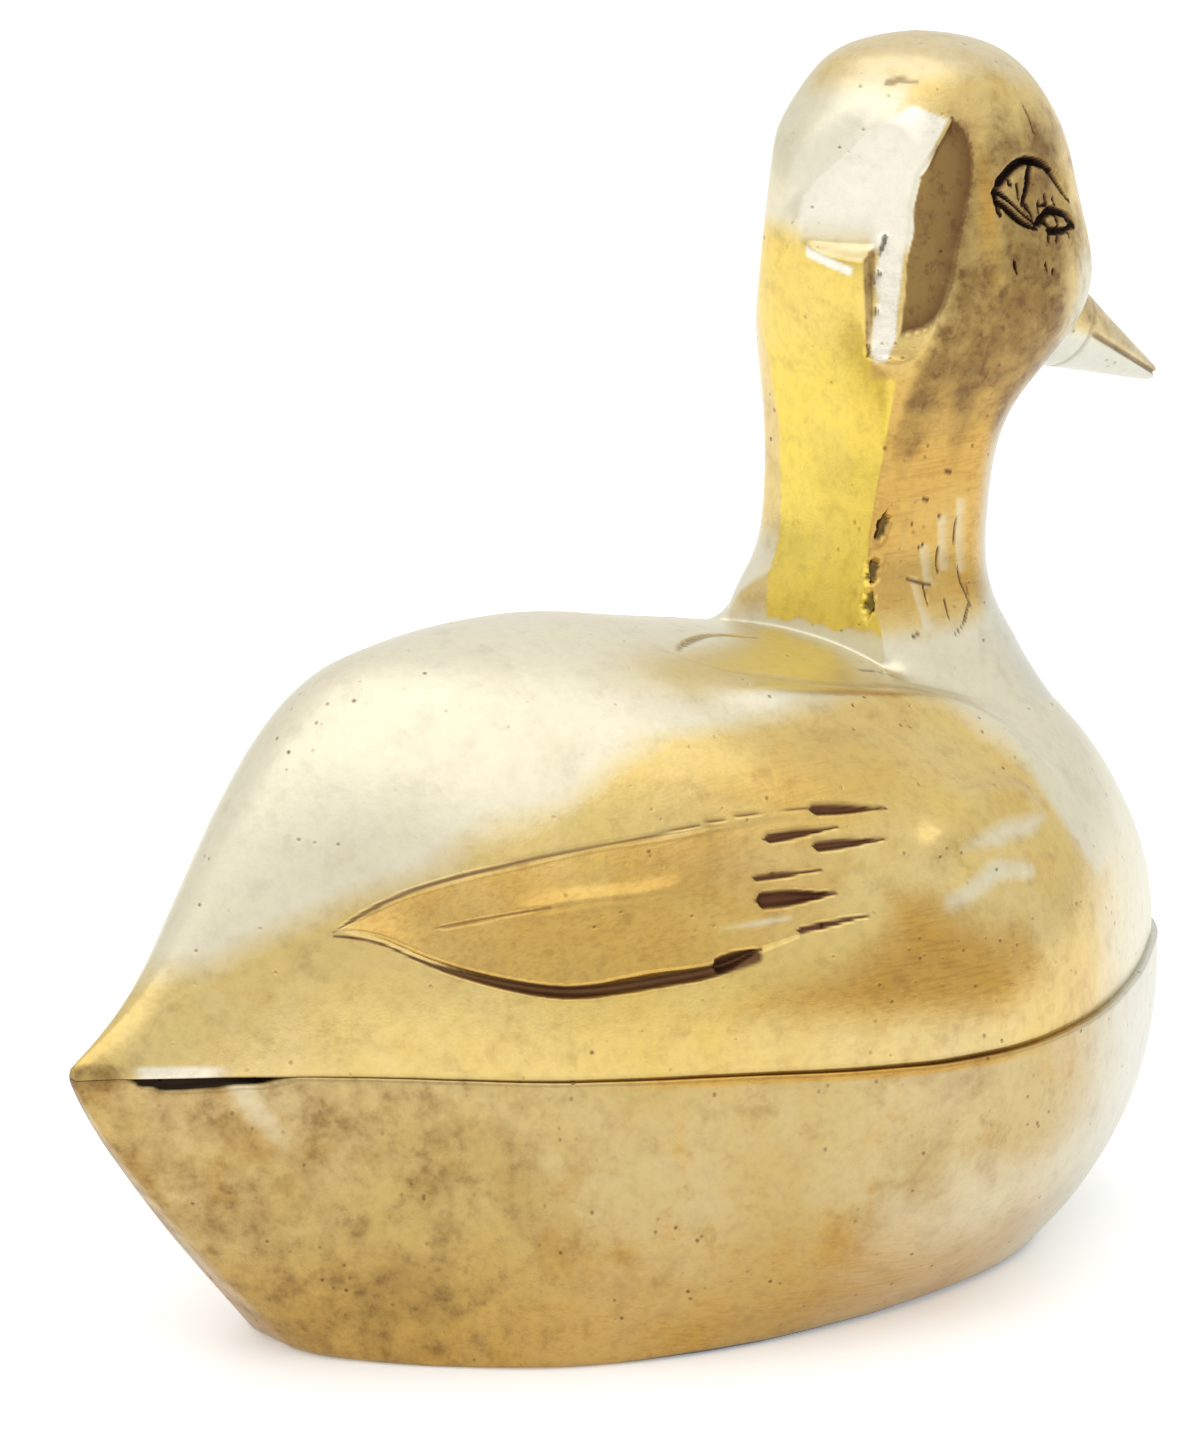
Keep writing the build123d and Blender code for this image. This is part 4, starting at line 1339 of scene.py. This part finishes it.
def casting_skin():
    """Nodes that give a casting its hand-finished waviness and its finish."""
    tree = bpy.data.node_groups.new("casting_skin", "GeometryNodeTree")
    for name, kind in SKIN_INPUTS:
        tree.interface.new_socket(name, in_out="INPUT", socket_type="NodeSocket" + kind)
    tree.interface.new_socket("Geometry", in_out="OUTPUT", socket_type="NodeSocketGeometry")
    net = Network(tree)
    given = tree.nodes.new("NodeGroupInput")
    casting, height, length, seed, metal = (Value(tree, given.outputs[k]) for k in range(5))
    place = net.node("GeometryNodeInputPosition")
    scale = (length + 0.0).maths("POWER", -1.0)
    inputs = {"Vector": place, "W": seed, "Scale": scale, "Detail": 1.0}
    noise = net.node("ShaderNodeTexNoise", {"noise_dimensions": "4D"}, inputs, output=1)
    centred = net.node("ShaderNodeVectorMath", {"operation": "SUBTRACT"}, {0: noise, 1: (0.5, 0.5, 0.5)})
    offset = net.node("ShaderNodeVectorMath", {"operation": "SCALE"}, {0: centred, "Scale": height})
    moved = net.node("GeometryNodeSetPosition", inputs={"Geometry": casting, "Offset": offset})
    real = net.node("GeometryNodeRealizeInstances", inputs={"Geometry": moved})
    done = net.node("GeometryNodeSetMaterial", inputs={"Geometry": real, "Material": metal})
    out = tree.nodes.new("NodeGroupOutput")
    tree.links.new(done.socket, out.inputs[0])
    return tree


def coordinates(mesh):
    values = np.empty(len(mesh.vertices) * 3, np.float32)
    mesh.vertices.foreach_get("co", values)
    return values.reshape(-1, 3)


def finish(piece, tree, material, height, length, seed):
    """Run the skin nodes on a piece and keep the result as its plain mesh."""
    skin = piece.modifiers.new("casting_skin", "NODES")
    skin.node_group = tree
    values = {"Wave height": height * MM, "Wave length": length * MM, "Wave seed": seed, "Finish": material}
    for item in tree.interface.items_tree:
        if item.in_out == "INPUT" and item.name in values:
            skin[item.identifier] = values[item.name]
    view = bpy.context.evaluated_depsgraph_get()
    mesh = bpy.data.meshes.new_from_object(piece.evaluated_get(view), depsgraph=view)
    piece.modifiers.remove(skin)
    old = piece.data
    before = coordinates(old)
    after = np.clip(coordinates(mesh), np.array(cad_box[0]), np.array(cad_box[1]))
    after[before[:, 2] < 1e-7, 2] = 0
    mesh.vertices.foreach_set("co", after.ravel())
    mesh.update()
    piece.data = mesh
    mesh.name = piece.name
    bpy.data.meshes.remove(old)


# Studio: brightness of the world from below to above, its strength, and the floor and the light
WORLD_GLOW = ((0.0, 0.84), (0.25, 0.90), (0.7, 0.97), (1.0, 1.0))
WORLD_STRENGTH = 1.08
FLOOR_SIZE = 40.0
FLOOR_GREY = 0.9
FLOOR_GLOW = 0.27
SOFTBOX_PLACE = (-0.25, -0.1, 1.1)
SOFTBOX_AIM = (0, 0, 0.05)
SOFTBOX_SIZE = 1.6
SOFTBOX_WATTS = 4.0


def studio():
    """Pale floor and soft light from all round, fuller above."""
    world = bpy.data.worlds.new("studio")
    bpy.context.scene.world = world
    world.use_nodes = True
    net = Network(world.node_tree)
    direction = net.node("ShaderNodeTexCoord")
    height = net.node("ShaderNodeSeparateXYZ", inputs={0: direction}, output=2)
    stops = [(place, (level, level, level, 1)) for place, level in WORLD_GLOW]
    glow = net.node("ShaderNodeValToRGB", {"stops": stops}, {0: height})
    net.feed(world.node_tree.nodes["Background"], Color=glow, Strength=WORLD_STRENGTH)
    bpy.ops.mesh.primitive_plane_add(size=FLOOR_SIZE)
    floor = bpy.context.object
    floor.name = "pale_floor"
    paint = bpy.data.materials.new("pale_floor_paint")
    paint.use_nodes = True
    Network(paint.node_tree).feed(
        paint.node_tree.nodes["Principled BSDF"],
        Base_Color=(FLOOR_GREY, FLOOR_GREY, FLOOR_GREY, 1),
        Roughness=0.9,
        Emission_Color=(1, 1, 1, 1),
        Emission_Strength=FLOOR_GLOW,
    )
    floor.data.materials.append(paint)
    add_light("overhead_softbox", SOFTBOX_PLACE, SOFTBOX_AIM, SOFTBOX_SIZE, SOFTBOX_WATTS)


def add_light(name, place, aim, size, power):
    lamp = bpy.data.lights.new(name, "AREA")
    lamp.shape = "RECTANGLE"
    lamp.size = size
    lamp.size_y = size
    lamp.energy = power
    holder = bpy.data.objects.new(name, lamp)
    holder.location = place
    holder.rotation_euler = (Vector(aim) - Vector(place)).to_track_quat("-Z", "Y").to_euler()
    bpy.context.scene.collection.objects.link(holder)


# The photograph's view, fitted to the duck's outline: from behind its right side, a little above its back
CAMERA_PLACE = (-0.40289, -0.54992, 0.22748)
CAMERA_RIGHT = (0.8093, -0.5874, 0)
CAMERA_AHEAD = (0.5708, 0.7865, -0.2357)
CAMERA_LENS = 160.87
CAMERA_SENSOR = 36.0


def place_camera():
    right = Vector(CAMERA_RIGHT).normalized()
    ahead = Vector(CAMERA_AHEAD).normalized()
    camera = bpy.data.objects.new("camera", bpy.data.cameras.new("camera"))
    camera.data.sensor_width = CAMERA_SENSOR
    camera.data.lens = CAMERA_LENS
    camera.data.clip_start = 0.01
    camera.data.clip_end = 20
    camera.location = CAMERA_PLACE
    camera.rotation_euler = Matrix((right, right.cross(ahead), -ahead)).transposed().to_euler()
    bpy.context.scene.collection.objects.link(camera)
    bpy.context.scene.camera = camera


# Waves of a hand-finished casting, in millimetres: length, seed, and height on each piece
WAVE_LENGTH = 11.0
WAVE_SEED = 4.0
HULL_WAVES = 0.35
BODY_WAVES = 0.3
BILL_WAVES = 0.15

place_camera()
studio()
metals = {
    "polished_brass": brass("polished_brass", GOLDEN, haze_and_highlight_share=1.0, stain_share=0.35),
    "aged_brass": brass("aged_brass", AGED, haze_and_highlight_share=0.8, stain_share=0.75),
}
skin = casting_skin()
cover, cover_surface = upper_body()
for piece, node, slot, waves in (
    (lower_hull(), "lower_hull", "aged_brass", HULL_WAVES),
    (cover, "upper_body", "polished_brass", BODY_WAVES),
    (wing("right_wing", False), None, "polished_brass", BODY_WAVES),
    (wing("left_wing", True), None, "polished_brass", BODY_WAVES),
    (neck_and_head(cover_surface), "neck_and_head", "polished_brass", BODY_WAVES),
    (bill(), "bill", "polished_brass", BILL_WAVES),
):
    finish(piece, skin, metals[slot], waves, WAVE_LENGTH, WAVE_SEED)
    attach(piece, "root")
    if node:
        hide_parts(node)

bpy.context.scene.view_settings.view_transform = "Standard"
